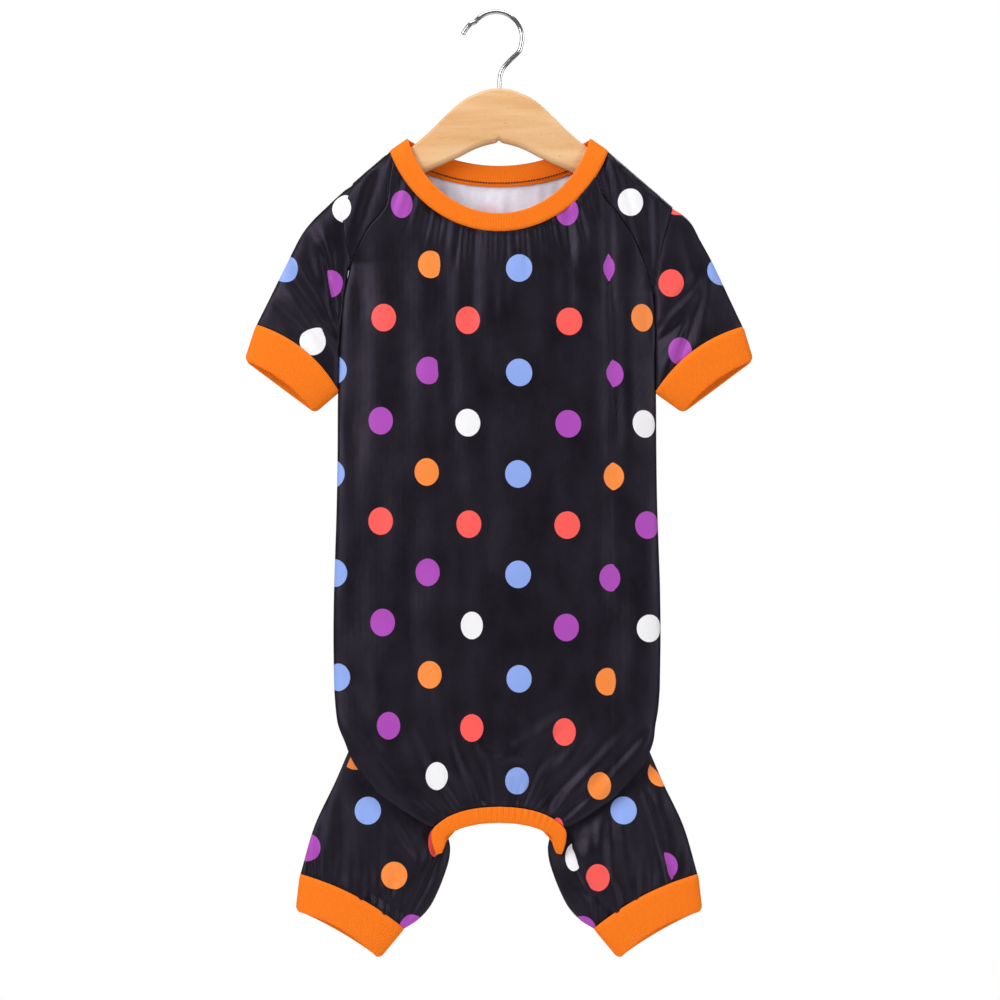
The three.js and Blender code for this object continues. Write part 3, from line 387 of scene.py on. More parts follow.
def patch(top, bottom, first, last):
    corners = [top(0), top(1), bottom(0), bottom(1)]

    def place(u, v):
        t, b, l, r = top(u), bottom(u), first(v), last(v)
        return tuple(
            between(t[k], b[k], v) + between(l[k], r[k], u)
            - between(between(corners[0][k], corners[1][k], u), between(corners[2][k], corners[3][k], u), v)
            for k in (0, 1))
    return place


def lean_at(r):
    return -1.5 * float(ease((r - 1) / 0.3) * (1 - ease((r - 2.2) / 0.14)))


def body_ring(degrees, r):
    turn, facing = math.sin(math.radians(degrees)), math.cos(math.radians(degrees))
    if r <= 2:
        level = 1 - ease((r - 1) / 0.3)
        middle = between((left.armpit + right.armpit) / 2, HIP_Z, r - 1)
        tilt = (right.armpit - left.armpit) / 2 * level
        x_left, x_right = -read(body_rows, 1, middle - tilt), read(body_rows, 1, middle + tilt)
        x = (x_left + x_right) / 2 + (x_right - x_left) / 2 * turn
        z = middle + tilt * turn
        return x + lean_at(r), -math.copysign(body_depth(x, z), facing), z
    edge_x, edge_z, mid, centre = (read(hem_rows, c, r) for c in (1, 2, 3, 5))
    deep = (-read(hem_rows, 6, r) if facing > 0 else read(hem_rows, 7, r)) * abs(facing) ** 0.6
    return edge_x * turn + lean_at(r), centre + deep, between(mid, edge_z, abs(turn) ** 2.6)


def wrap_at(r):
    return 90 + 45 * ease((r - 1) / 0.35) if r <= 2 else read(hem_rows, 4, r)


front_patch = patch(
    lambda u: on_ellipse(neck_seam, between(-left.neck_start, right.neck_start, u)),
    lambda u: body_ring(between(-90, 90, u), 1)[::2],
    lambda v: (-left.raglan_front(v)[0], left.raglan_front(v)[1]),
    lambda v: right.raglan_front(v))


def back_panel_skin(u, r):
    inset = GAP / 210
    u = between(inset, 1 - inset, u)
    if r < 1:
        x, z = front_patch(u, r)
        return x, -body_depth(x, z), z
    return body_ring(wrap_at(r) * (2 * u - 1), r)


# The folds: half width, depth (troughs below 0, ridges above) and the points that each runs through.
front_folds = [
    (8, -1.8, (-44, -158), (-40, -274)), (8, -1.3, (-40, -274), (-35, -342)),
    (9, -1.9, (-33, -350), (-25, -469)),
    (5, -1.6, (-19, -162), (-21, -229)), (9, -1.2, (-71, -177), (-74, -289)),
    (8, -1.4, (-103, -177), (-106, -304)),
    (9, -1.6, (-107, -312), (-104, -454)), (8, 0.9, (-55, -274), (-56, -334)),
    (7, 0.9, (-9, -169), (-5, -237)),
    (5, -1.1, (6, -166), (3, -214)), (6, -1.2, (48, -166), (50, -214)), (9, 1.2, (63, -177), (67, -304)),
    (3.2, -3.8, (81.2, -143), (82.1, -190), (85, -270), (85.4, -342)), (9, -1.6, (85, -225), (88, -430)),
    (7, 1.0, (96, -177), (97, -319)),
    (5, -1.3, (110, -169), (113, -237)), (9, -1.0, (-89, -349), (-88, -454)),
    (10, -1.1, (40, -330), (36, -470)),
    (7, -1.4, (-70, -432), (-65, -499)), (8, -1.2, (-12, -250), (-10, -400)),
    (11, -1.0, (22, -240), (26, -330)),
    (8, -1.3, (100, -400), (99, -500)), (9, 0.8, (72, -400), (74, -490)), (9, 0.8, (-52, -380), (-46, -470)),
    # drawn towards the rear opening: ridges, then the troughs between them
    (5, 1.8, (-70.5, -535.4), (-62, -557.6), (-37.8, -590.4)), (4.5, 1.5, (-82.5, -555.9), (-60.2, -585.2)),
    (5, 1.6, (-111.8, -536.9), (-77.3, -578.1)), (3.5, 1.8, (-18.9, -550.8), (-10.3, -574.9), (-8.6, -585.2)),
    (4.5, 1.9, (56.9, -550.8), (34.5, -578.3), (30.8, -590.4)), (4.5, 2.4, (86.1, -550.8), (48.2, -590.4)),
    (4.5, 1.8, (105, -550.8), (86.1, -573.2)), (4, 1.7, (-1.7, -547.4), (8.6, -552.5), (31, -538.7)),
    (5, 1.3, (-92, -500), (-88, -535)), (5, 1.4, (-45, -500), (-38, -545), (-24, -588)),
    (5, -1.9, (-92, -545), (-70, -573), (-47, -597)), (4.5, -1.8, (-54, -545), (-44, -568), (-26, -590)),
    (4, -1.8, (-28, -555), (-20, -575), (-15, -588)), (4, -1.8, (-4, -560), (-1, -575), (0, -588)),
    (4.5, -1.8, (40, -545), (24, -570), (18, -588)), (4.5, -2.2, (72, -550), (44, -580), (38, -594)),
    (5, -1.6, (98, -548), (72, -572), (60, -585)), (4.5, -1.6, (8, -515), (22, -530), (34, -525)),
    (5, -1.2, (14, -562), (30, -558)), (7, -1.4, (-108, -505), (-98, -535))]
hidden_folds = [
    (8, -2, (64, -170), (58, -360)), (7, -1.6, (22, -160), (26, -300)), (8, -2, (-28, -165), (-34, -400)),
    (8, -1.8, (-72, -240), (-66, -470)), (7, -1.8, (52, -500), (30, -575)),
    (7, -1.8, (-50, -505), (-28, -575)),
    (6, -1.6, (100, -230), (104, -420)), (6, -1.6, (-102, -210), (-106, -380)),
    (5, -1.2, (0, -150), (4, -230)),
    (9, -1.2, (-8, -330), (2, -470)), (6, 1.2, (40, -330), (44, -480)), (5, 1.2, (-50, -150), (-56, -250)),
    (5, -1.8, (80, -460), (58, -560)), (5, -1.8, (-84, -450), (-60, -560)), (5, -1.5, (14, -500), (12, -560)),
    (4, -1.3, (-10, -510), (-12, -565)), (5, 1.0, (88, -300), (84, -440)), (5, 1.0, (-90, -300), (-86, -430))]


def fold_height(folds, x, z):
    total = np.zeros_like(x)
    for width, depth, *line in folds:
        near = np.full_like(x, np.inf)
        for (x0, z0), (x1, z1) in zip(line, line[1:]):
            length = math.hypot(x1 - x0, z1 - z0)
            run = ((x - x0) * (x1 - x0) + (z - z0) * (z1 - z0)) / length
            off = ((x - x0) * (z1 - z0) - (z - z0) * (x1 - x0)) / length / width
            past = np.maximum(np.maximum(-run, run - length), 0) / 14
            near = np.minimum(near, off * off + past * past)
        total += depth * np.exp(-near)
    return total


def from_edge(y):
    return ease(np.abs(y) / 7)


# The cloth dips along each seam, where the allowances hold it in
def seam_dip(distance, depth, width=1.6):
    return depth * np.exp(-(distance / width) ** 2)


def two_sided(folds, side, x, y, z):
    seen = fold_height(folds[side.name], x, z)
    return np.where(y < 0, seen, fold_height(folds["hidden"], x * side.sign, z))


def gather_folds(dice, count, start, reach, width, depth):
    rows = []
    for k in range(count):
        (x0, z0), (dx, dz) = start((k + dice.uniform(0.2, 0.8)) / count)
        long = reach * dice.uniform(0.4, 1.3)
        rows.append((width * dice.uniform(0.75, 1.3), -depth * dice.uniform(0.4, 1.3),
                     (x0, z0), (x0 + dx * long, z0 + dz * long)))
    return rows


def slow_wave(points, size, height):
    flat = points.reshape(-1, 3)
    values = [noise.noise(Vector((p[0] / size, 0.3 * p[1] / size, p[2] / (2.2 * size)))) for p in flat]
    return height * np.array(values).reshape(points.shape[:2])


dice = random.Random(4)


def neck_start(t):
    degrees = between(-62, 54, t)
    x, z = on_ellipse(neck_seam, degrees)
    return (x, z), (0.35 * math.sin(math.radians(degrees)), -1)


def arch_start(t):
    s = 2 * t - 1
    x, z = 46 * s, between(-594.4, -607, abs(s) ** 2.6)
    return (x, z), (0.9 * s, 1 - 0.25 * abs(s))


neck_gathers = gather_folds(dice, 24, neck_start, 16, 2.3, 1.7)
arch_gathers = gather_folds(dice, 20, arch_start, 14, 2.1, 1.9)


def cloth_normals(points, closed):
    if closed:
        wide = np.concatenate([points[:, -2:-1], points, points[:, 1:2]], axis=1)
        du = wide[:, 2:] - wide[:, :-2]
    else:
        du = np.gradient(points, axis=1)
    dv = np.gradient(points, axis=0)
    normal = np.cross(du, dv)
    normal /= np.maximum(np.linalg.norm(normal, axis=2, keepdims=True), 1e-9)
    return normal * np.sign(np.sum(normal[..., 1] * points[..., 1]))


inks = {"B": "8fabee", "C": "ff5f58", "P": "ae4cb8", "O": "ff9040", "W": "f6f5f7"}
DOT_RADIUS, DOT_WIDTH = 10.3, 0.95
COLUMN_STEP, ROW_STEP, HALF_ROW = 34.5, 76.7, 38.3


def print_dots(bm, dots):
    uv = bm.loops.layers.uv["cloth"]
    centre = bm.faces.layers.float_vector.new("dot_centre")
    size = bm.faces.layers.float_vector.new("dot_size")
    ink = bm.faces.layers.float_color.new("dot_ink")
    by_side = {face_side: [d for d in dots if d[3] in (0, face_side)] for face_side in (-1, 1)}
    spots = {face_side: np.array([d[:2] for d in chosen]) * 0.001 for face_side, chosen in by_side.items()}
    for face in bm.faces:
        face_side = -1 if face.calc_center_median().y < 0 else 1
        where = spots[face_side]
        u = sum((loop[uv].uv for loop in face.loops), Vector((0, 0))) / len(face.loops)
        nearest = int(np.argmin((where[:, 0] - u.x) ** 2 + (where[:, 1] - u.y) ** 2))
        _, _, letter, _, wide = by_side[face_side][nearest]
        face[centre] = (*where[nearest], 0)
        face[size] = (wide * DOT_RADIUS * 0.001, DOT_RADIUS * 0.001, 1)
        face[ink] = linear(inks[letter])


def dots_on(points, flat, dots):
    # Each dot is x, z, ink, side (-1 in front), then how far its middle lies past that place,
    # and its width against its height; the last two may be left out
    placed = []
    for x, z, letter, face_side, past, wide in (dot + (0, DOT_WIDTH)[len(dot) - 4:] for dot in dots):
        wrong_side = points[..., 1] * face_side < 0
        off = np.hypot(points[..., 0] - x, points[..., 2] - z) + 1000 * wrong_side
        j, i = np.unravel_index(np.argmin(off), off.shape)
        row, here = points[j, :, 0], points[j, i, 0]
        other = i + 1 if i + 1 < len(row) and (row[i + 1] - here) * (x - here) > 0 else i - 1
        share = hold((x - here) / (row[other] - here)) if abs(row[other] - here) > 1e-6 else 0.0
        u, v = between(flat[j, i], flat[j, other], share)
        placed.append((u + past, v + z - points[j, i, 2], letter, face_side, wide))
    return placed


# The print: dots 20.6 mm high in columns 34.5 mm apart, every other column half a step lower.
# In front each is placed where it hangs, by x and z. The third number is the dot's width
# against its height, where gathers draw the cloth in.
front_dots = {
    "B": [(15, -191, 0.95), (15, -269, 0.95), (14.3, -344.9, 0.94), (14.3, -419.9, 0.93), (15, -497.9, 0.91),
          (13.5, -574.4, 0.86)],
    "C": [(-86.3, -227.9, 0.9), (-88.5, -380.1, 0.9), (-23.3, -230.1, 0.88), (-22.5, -382.4, 0.9),
          (-20.3, -534.6, 0.84), (52.5, -230.9, 0.94), (51, -383.1, 0.93), (48.8, -537.6, 0.83),
          (39.6, -612.6, 0.5)],
    "P": [(-72.8, -143.1, 0.78), (-88.5, -305.1, 0.9), (-87, -455.9, 0.9), (-82.5, -533.1, 0.85),
          (-52.7, -267.6, 0.9), (-53.3, -418.4, 0.88), (-22.5, -148, 0.9), (51, -148.5, 0.82),
          (51.8, -307.4, 0.93),
          (50.3, -459.6, 0.91), (82.1, -190.4, 0.95), (85.1, -269.7, 0.95), (84, -422.5, 0.9),
          (111, -383.1, 0.9),
          (109.5, -540.6, 0.9)],
    "O": [(-51.2, -188.1, 0.9), (-54, -343.4, 0.88), (-51.8, -494.9, 0.87), (85.4, -346.7, 0.93),
          (81, -500.1, 0.86), (75, -578.1, 0.85), (107.3, -227.9, 0.84)],
    "W": [(-46.5, -570.6, 0.8), (-23.3, -306.6, 0.9), (-20.3, -458.1, 0.8), (108.8, -307.4, 0.88),
          (112.5, -460.4, 0.92)]}
# where the dots on the left fold end, the rest of each lying round the side
left_ends = [(-114, -266.9), (-115.5, -344.9), (-113.6, -419.1), (-111.4, -497.1)]
print_hidden = {-5: "PCPCPC", -4: "OPOPOP", -3: "WCWCWC", -2: "BBBBBB", -1: "CPCPCP", 0: "OPOPPO",
                1: "WCWCWC", 2: "BBBBBB", 3: "PCPCPC", 4: "POPOPO", 5: "CWCWCW"}


def dot_lattice(columns, shift):
    return [(15 + COLUMN_STEP * i + shift, -190.5 - ROW_STEP * k + (HALF_ROW if i % 2 else 0),
             letter, 0, 0.93)
            for i, column in columns.items() for k, letter in enumerate(column)]


def inside_dot(tree, flat, ragged, low, high, strength=1.0):
    centre, size = (add(tree, "Attribute", attribute_name=name).outputs["Vector"]
                    for name in ("dot_centre", "dot_size"))
    off = add(tree, "VectorMath", {0: flat, 1: centre}, operation="SUBTRACT").outputs["Vector"]
    share = add(tree, "VectorMath", {0: off, 1: size}, operation="DIVIDE").outputs["Vector"]
    away = add(tree, "VectorMath", {0: share}, operation="LENGTH").outputs["Value"]
    if ragged:
        away = part_of(tree, clouds(tree, flat, 900.0, 2.0), ragged, away)
    return span(tree, away, low, high, strength, 0.0)


def brushed_knit():
    material, tree, surface = new_material("brushed polyester knit, printed")
    # Fine loops 0.9 mm apart stand in for real ones half as wide, which would not show.
    flat = add(tree, "UVMap", uv_map="cloth").outputs["UV"]
    ink = add(tree, "Attribute", attribute_name="dot_ink").outputs["Color"]
    pile = clouds(tree, own_space(tree), 260.0, 6.0, 0.7)
    nap = clouds(tree, own_space(tree, (70.0, 60.0, 42.0)), 1.0, 2.0)
    ground = mix(tree, span(tree, part_of(tree, pile, 0.45, nap), 0.45, 1.0), "0a070c", "1b171f")
    wales = add(tree, "TexWave", {"Vector": flat, "Scale": 340.0, "Distortion": 1.2, "Detail": 2.0,
                                  "Detail Scale": 2.0}, bands_direction="X").outputs["Fac"]
    fuzz = bumps(tree, part_of(tree, wales, 0.5, pile), 0.35, 0.00025)
    put(tree, surface, {
        "Base Color": mix(tree, inside_dot(tree, flat, 0.04, 1.0, 1.035), ground, ink),
        "Normal": bumps(tree, nap, 0.3, 0.0016, {"Normal": fuzz}),
        "Roughness": span(tree, clouds(tree, own_space(tree), 22.0, 3.0), 0.35, 0.65, 0.38, 0.54),
        "Specular IOR Level": 0.4, "Specular Tint": linear("c4b8d6"),
        "Sheen Weight": 0.07, "Sheen Roughness": 0.35, "Sheen Tint": linear("b9aed0")})
    return material


def knit_wrong_side():
    material, tree, surface = new_material("wrong side of the printed knit")
    # The undyed back of the cloth: white, with the print showing through faintly.
    flat = add(tree, "UVMap", uv_map="cloth").outputs["UV"]
    ink = add(tree, "Attribute", attribute_name="dot_ink").outputs["Color"]
    pile = clouds(tree, own_space(tree), 300.0, 5.0)
    put(tree, surface, {
        "Base Color": mix(tree, inside_dot(tree, flat, 0, 0.82, 1.18, 0.16),
                          mix(tree, pile, "dcdcec", "f1f1fb"), ink),
        "Normal": bumps(tree, pile, 0.3, 0.0003), "Roughness": 0.85, "Sheen Weight": 0.15})
    return material


knit, knit_back = brushed_knit(), knit_wrong_side()


def cloth_piece(name, points, flat, dots, closed):
    bm = laid_grid(points, round_u=closed, flat=flat)
    print_dots(bm, dots)
    bm.normal_update()
    turned = sum(f.normal.y * math.copysign(1, f.calc_center_median().y) * f.calc_area() for f in bm.faces)
    if turned < 0:
        bmesh.ops.reverse_faces(bm, faces=bm.faces)
    piece = as_piece(name, bm, [knit, knit_back])
    wall = piece.modifiers.new("wall", "SOLIDIFY")
    wall.thickness = CLOTH * 0.001
    wall.offset = -1
    wall.use_even_offset = False
    wall.material_offset = 1
    wall.material_offset_rim = 0
    return piece


def sheet_across(points):
    steps = np.hypot(np.diff(points[..., 0], axis=1), np.diff(points[..., 1], axis=1))
    run = running_total(steps)
    ways = (slice(None) if row[0, 0] < row[-1, 0] else slice(None, None, -1) for row in points)
    middle = np.array([np.interp(0, row[way, 0], s[way]) for way, row, s in zip(ways, points, run)])
    return run - middle[:, None]


def row_at(v):
    return np.interp(v, (0, 0.05, 0.18, 0.81, 1), (0, 0.12, 1, 2, 3))


points, x, y, z, u, v = cloth_grid(lambda u, v: back_panel_skin(u, row_at(v) * 0.9993), 168, 224)
r = row_at(v)
height = np.where(y < 0, 2 * np.tanh(fold_height(front_folds, x, z) / 1.8), fold_height(hidden_folds, x, z))
height *= from_edge(y)
height += fold_height(neck_gathers, x, z) * from_edge(y) * (r < 1.2) * (0.35 + 0.65 * ease(r * 55 / 6))
height += fold_height(arch_gathers, x, z) * ease((r - 2.3) * 3)
height += (slow_wave(points, 26, 1.4) + slow_wave(points[..., (1, 0, 2)], 13, 0.5)) * from_edge(y)
height *= 0.15 + 0.85 * ease((3 - r) * 12)
seam = np.where(r < 1, np.minimum(u, 1 - u) * 200, 50)
height -= (seam_dip(seam, 0.8) + seam_dip(r * 55, 0.4)) * from_edge(y)
# What the pleat on the right and a shallow fold on the left take up of the print, in mm
pleat_x = np.interp(z, (-345, -270, -190, -143), (85.4, 85.05, 82.1, 81.2))
taken = np.interp(z, (-430, -345, -270, -190, -150), (2.5, 4, 6.8, 11, 11)) * ease((x - pleat_x + 1) / 2)
pinch_x = np.interp(z, (-345, -268, -190), (-47, -46, -44.6))
taken += np.interp(z, (-345, -300, -268, -190, -150), (0, 1, 2.9, 2.7, 1.5)) * ease((x - pinch_x + 1) / 2)
flat_x = sheet_across(points) + np.where(y < 0, taken, np.where(x > 0, taken, 0))
flat = np.stack([flat_x, z], axis=-1)
points = points + cloth_normals(points, False) * height[..., None]
charted = [(cx, cz, letter, -1, 0, wide) for letter, places in front_dots.items() for cx, cz, wide in places]
charted += [(cx, cz, "B", -1, -0.93 * DOT_RADIUS, 0.93) for cx, cz in left_ends]
back_dots = [(*dot[:3], 0, dot[4]) for dot in dots_on(points, flat, charted)]
edges = {side: np.abs(flat_x[100, 0 if side < 0 else -1]) for side in (-1, 1)}
back_dots += [(sign * (edges[sign] + 6), cz, letter, 0, 0.93) for sign, column in
              ((-1, "CWCWC"), (1, "BPBCB")) for cz, letter in zip((-228, -305, -382, -458, -530), column)]
back = cloth_piece("back_panel_cloth", points, flat, back_dots, False)
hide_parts("back_panel")

# Belly and chest panel: the same knit on the hidden side, sewn to the back panel along both
# sides and to the legs below; its white wrong side shows inside the neck.
belly_rows = [(2.34, 106.4, -1.3, -547.5, -541), (2.44, 99, 6, -556, -548), (2.56, 87, 9.4, -568.5, -556),
              (2.7, 72, 10.2, -583, -564), (2.85, 56, 10.4, -598, -572.5), (3, 41, 10.4, -612, -580.5)]

hidden_patch = patch(
    lambda u: hidden_curve(hidden_seam, neck_point, between(
        right.hidden_start[0] / neck_point[0], -left.hidden_start[0] / neck_point[0], u)),
    lambda u: body_ring(between(90, 270, u), 1)[::2],
    lambda v: right.raglan_hidden(v),
    lambda v: (-left.raglan_hidden(v)[0], left.raglan_hidden(v)[1]))


def belly_edge(r):
    if r > LEG_TOP:
        return tuple(read(belly_rows, c, r) for c in (1, 2, 3))
    return body_ring(wrap_at(r), r)


def belly_skin(u, r):
    inset = GAP / 170
    u = between(inset, 1 - inset, u)
    if r < 1:
        x, z = hidden_patch(u, r)
        return x, body_depth(x, z), z
    wrap = wrap_at(r)
    if r <= 2:
        return body_ring(between(wrap, 360 - wrap, u), r)
    edge_x, edge_y, edge_z = belly_edge(r)
    settle = ease((r - 2) / 0.3)
    ring_x = HIP_HALF * math.sin(math.radians(between(wrap_at(2), 360 - wrap_at(2), u)))
    share = between(ring_x / 86.34, math.cos(math.pi * u), settle)
    x = (edge_x - lean_at(r)) * share
    mid = read(belly_rows, 4, r) if r > LEG_TOP else read(hem_rows, 3, r)
    dome = between(edge_y, between(HIP_DEPTH, 12.6, settle), hold(1 - share ** 2) ** 0.5)
    ring = HIP_DEPTH * hold(1 - (x / HIP_HALF) ** 2) ** 0.3
    return x + lean_at(r), between(ring, dome, settle), between(mid, edge_z, abs(share) ** 2.2)


points, x, y, z, u, v = cloth_grid(lambda u, v: belly_skin(u, row_at(v) * 0.999), 96, 190)
r = row_at(v)
height = (fold_height(hidden_folds, x, z) + slow_wave(points, 26, 0.8)) * from_edge(y) * ease((3 - r) * 6)
height *= 0.15 + 0.85 * ease(r * 55 / 8)


def hidden_neck_start(t):
    share = between(-0.85, 0.85, t)
    x, z = hidden_curve(hidden_seam, neck_point, share)
    return (x, z), (0.1 * share, -1)


hidden_gathers = gather_folds(dice, 12, hidden_neck_start, 14, 2.6, 1.0)
height += fold_height(hidden_gathers, x, z) * (r < 1.2) * ease(r * 55 / 5)
edge = np.minimum(u, 1 - u) * np.where(r < 1, 180, 165)
height -= (seam_dip(edge, 0.7, 1.8) + seam_dip(r * 80, 0.6, 1.8)) * from_edge(y)
flat = np.stack([-sheet_across(points), z], axis=-1)
points = points + cloth_normals(points, False) * height[..., None]
belly = cloth_piece("belly_panel_cloth", points, flat, dot_lattice(print_hidden, 11), False)
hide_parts("belly_panel")

# Shoulder pieces: one on each side between the raglan seam and the sleeve seam, cut in one
# and folded over the arm of the hanger, of the same knit.


def neck_edge(side, down, hidden):
    q = down / side.neck_share
    if q >= 1:
        seam = side.raglan_hidden if hidden else side.raglan_front
        return seam((down - side.neck_share) / (1 - side.neck_share))
    if hidden:
        return hidden_curve(hidden_seam, neck_point, between(1, side.hidden_start[0] / neck_point[0], q))
    return on_ellipse(neck_seam, between(neck_seam.end, side.neck_start, q))


def shoulder_skin(side):
    def place(u, v):
        s = 2 * u - 1
        down = abs(s) ** 1.25
        x0, z0 = neck_edge(side, down, s > 0)
        x1, z1 = side.sleeve_edge(down)
        inset = GAP / max(math.hypot(x1 - x0, z1 - z0), 1)
        share = between(inset, 1 - inset, v)
        x, z = side.sign * between(x0, x1, share), between(z0, z1, share)
        return x, math.copysign(body_depth(x, z), s), z
    return place


shoulder_folds = {
    "left": [(4, -1.0, (-88, -112), (-100, -150)), (4, 0.8, (-96, -108), (-108, -150))],
    "right": [(3.5, -1.8, (78, -108), (86, -150)), (4, -1.4, (92, -118), (104, -168)),
              (5, -1.4, (108, -128), (114, -180)), (3.5, 1.2, (88, -116), (96, -150)),
              (4, 1.0, (118, -140), (117, -190))]}
shoulder_dots = {"left": [(-90, -96.8, "W", 0, 1), (-120.9, -145.7, "W", -1, 1), (-119, -150, "W", 1, 1)],
                 "right": [(98.4, -141.5, "W", -1, 0.92), (104, -150, "C", 1, 0.92)]}
for side in (left, right):
    points, x, y, z, u, v = cloth_grid(shoulder_skin(side), 120, 36)
    height = (fold_height(shoulder_folds[side.name], x, z) + slow_wave(points, 20, 0.7)) * from_edge(y)
    height -= seam_dip(np.minimum(v, 1 - v) * 40, 0.7) * from_edge(y)
    flat = np.stack([x, z], axis=-1)
    points = points + cloth_normals(points, False) * height[..., None]
    yoke = cloth_piece(f"shoulder_{side.name}_cloth", points, flat, shoulder_dots[side.name], False)
    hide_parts(f"shoulder_{side.name}")

# Sleeves: two short tubes of the same knit, flat as they hang, with creases running in
# from the armpit; the print follows each sleeve's own grain.
sleeve_bow, sleeve_depth = -7.8, 8


def chord_point(outer, inner, share, bow):
    dx, dz = inner[0] - outer[0], inner[1] - outer[1]
    rise = bow * 4 * share * (1 - share) / math.hypot(dx, dz)
    return between(outer[0], inner[0], share) - dz * rise, between(outer[1], inner[1], share) + dx * rise


def round_tube(u):
    angle = 2 * math.pi * u - math.pi / 2
    facing = -1 if math.sin(angle) > 0 else 1
    return (1 - math.cos(angle)) / 2, facing, abs(math.sin(angle)) ** 0.55


def sleeve_skin(side):
    def place(u, t):
        share, facing, deep = round_tube(u)
        down = between(GAP / 100, 1 - GAP / 100, t)
        outer, inner = side.outer_line(down), side.inner_line(down)
        chord, bowed = chord_point(outer, inner, share, 0), chord_point(outer, inner, share, sleeve_bow)
        seam = side.sleeve_edge(share)
        seam_chord = chord_point(side.outer_line(0), side.inner_line(0), share, 0)
        keep, end = 1 - ease(down / 0.4), ease(down / 0.9) ** 2
        x, z = (chord[k] + (seam[k] - seam_chord[k]) * keep + (bowed[k] - chord[k]) * end for k in (0, 1))
        at_seam = max(body_depth(side.sign * seam[0], seam[1]), 4 * deep)
        # the seam allowance lies a little way under the body's edge
        under = ease((keep - 0.93) / 0.07)
        y = between(sleeve_depth * deep, at_seam, keep) - 0.5 * under * deep
        return side.sign * (x - 1.3 * under), facing * y, z
    return place


def tube_flat(points):
    # The cloth as seen from in front or behind, let out round the edges of the tube
    quarter = points.shape[1] // 4
    seen = points[..., (0, 2)]
    way_in = seen[:, 3 * quarter] - seen[:, quarter]
    way_in = way_in / np.linalg.norm(way_in, axis=1, keepdims=True)
    steps = np.diff(points, axis=1)
    spare = np.linalg.norm(steps, axis=2) - np.linalg.norm(steps[..., (0, 2)], axis=2)
    run = running_total(spare)
    column = np.arange(points.shape[1])
    out = run - run[:, 2 * quarter:2 * quarter + 1]
    out = np.where(column < quarter, -run, np.where(column > 3 * quarter, run[:, -1:] - run, out))
    return seen + out[..., None] * way_in[:, None]


sleeve_folds = {
    "left": [(5, -2, (-138, -169), (-122, -200), (-121.5, -222)),
             (4, 1.6, (-150, -188), (-135.3, -210.6), (-127.3, -228)),
             (4.5, -2.2, (-154, -200), (-138, -222.6), (-123.3, -242.9)),
             (4, -1.6, (-162, -222.6), (-150, -235)),
             (4, 1.3, (-152, -216), (-139, -236)), (2.2, -2.2, (-129.5, -188), (-124, -214)),
             (4, 1.1, (-130, -172), (-127, -184)), (4, -1.0, (-146, -160), (-140, -190))],
    "right": [(5, -1.8, (150.8, -214.9), (143.3, -240.3)), (4, 1.3, (156, -208), (153.5, -221.6)),
              (4, 1.7, (135.8, -220), (122.6, -229.6)),
              (4, -2.2, (140, -209.5), (129, -222.6), (120.7, -232.3)),
              (4, -1.8, (132, -235), (122.6, -242.9)), (4, 1.2, (122.6, -174.6), (120, -188)),
              (3, -2, (139.5, -243), (133.8, -262)), (4, 1.3, (133, -246), (128, -258)),
              (5, -1.2, (138, -166), (146, -196))],
    "hidden": [(5, -1.8, (122, -160), (150, -215)), (4.5, -2, (118, -196), (140, -240)),
               (5, -1.3, (138, -160), (162, -215)), (3.5, -1.4, (121, -214), (134, -256)),
               (3.5, 1.0, (128, -168), (156, -206)), (3, 1.2, (124, -204), (144, -238)),
               (4, 1.0, (144, -236), (130, -268))]}
sleeve_dots = {
    "left": [(-150.3, -190.8, "B", -1, -10), (-116.9, -201.5, "P", -1, -9.8),
             (-139.4, -245, "W", -1), (-124.9, -145.7, "W", -1, 9.8),
             (-150, -236, "C", 1), (-136, -180, "P", 1), (-170, -222, "O", 1)],
    "right": [(128.8, -202.4, "C", -1, 0, 0.92), (155.7, -193, "B", -1, 10),
              (135.6, -253, "P", -1, 0, 0.85), (134, -144, "C", -1),
              (150, -236, "W", 1), (138, -182, "O", 1), (172, -224, "C", 1)]}
for side in (left, right):
    points, x, y, z, u, t = cloth_grid(sleeve_skin(side), 120, 64)
    height = two_sided(sleeve_folds, side, x, y, z) * from_edge(y) * ease(t * 5)
    height += slow_wave(points, 18, 0.8) * from_edge(y) * ease(t * 4)
    height -= (seam_dip(t * 100, 0.7) + seam_dip((1 - t) * 100, 0.6)) * from_edge(y)
    flat = tube_flat(points)
    if side is left:
        # the crease beside the armpit, which hides half a dot
        crease = np.interp(z, (-214, -188), (-123.9, -129.2))
        along = ease((z + 240) / 12) * ease((-172 - z) / 12)
        flat[..., 0] -= 12 * np.where(y < 0, ease((crease - x) / 1.6), 0) * along
    points = points + cloth_normals(points, True) * height[..., None]
    dots = dots_on(points, flat, sleeve_dots[side.name])
    cloth_piece(f"sleeve_{side.name}_cloth", points, flat, dots, True)
    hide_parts(f"sleeve_{side.name}")

# Cuffs of the sleeves: orange cotton rib knit, cut as a strip, folded double along its middle
# and sewn on at its raw edges. Narrow ribs 1.3 mm apart run down it; the mouth stays open.
sleeve_cuff_end = ((190.6, -260.1), (138.4, -299), -4.7, 4.7)
CUFF_LENGTH, CUFF_CORNER, CUFF_LAP = 24, 3.2, 0.6


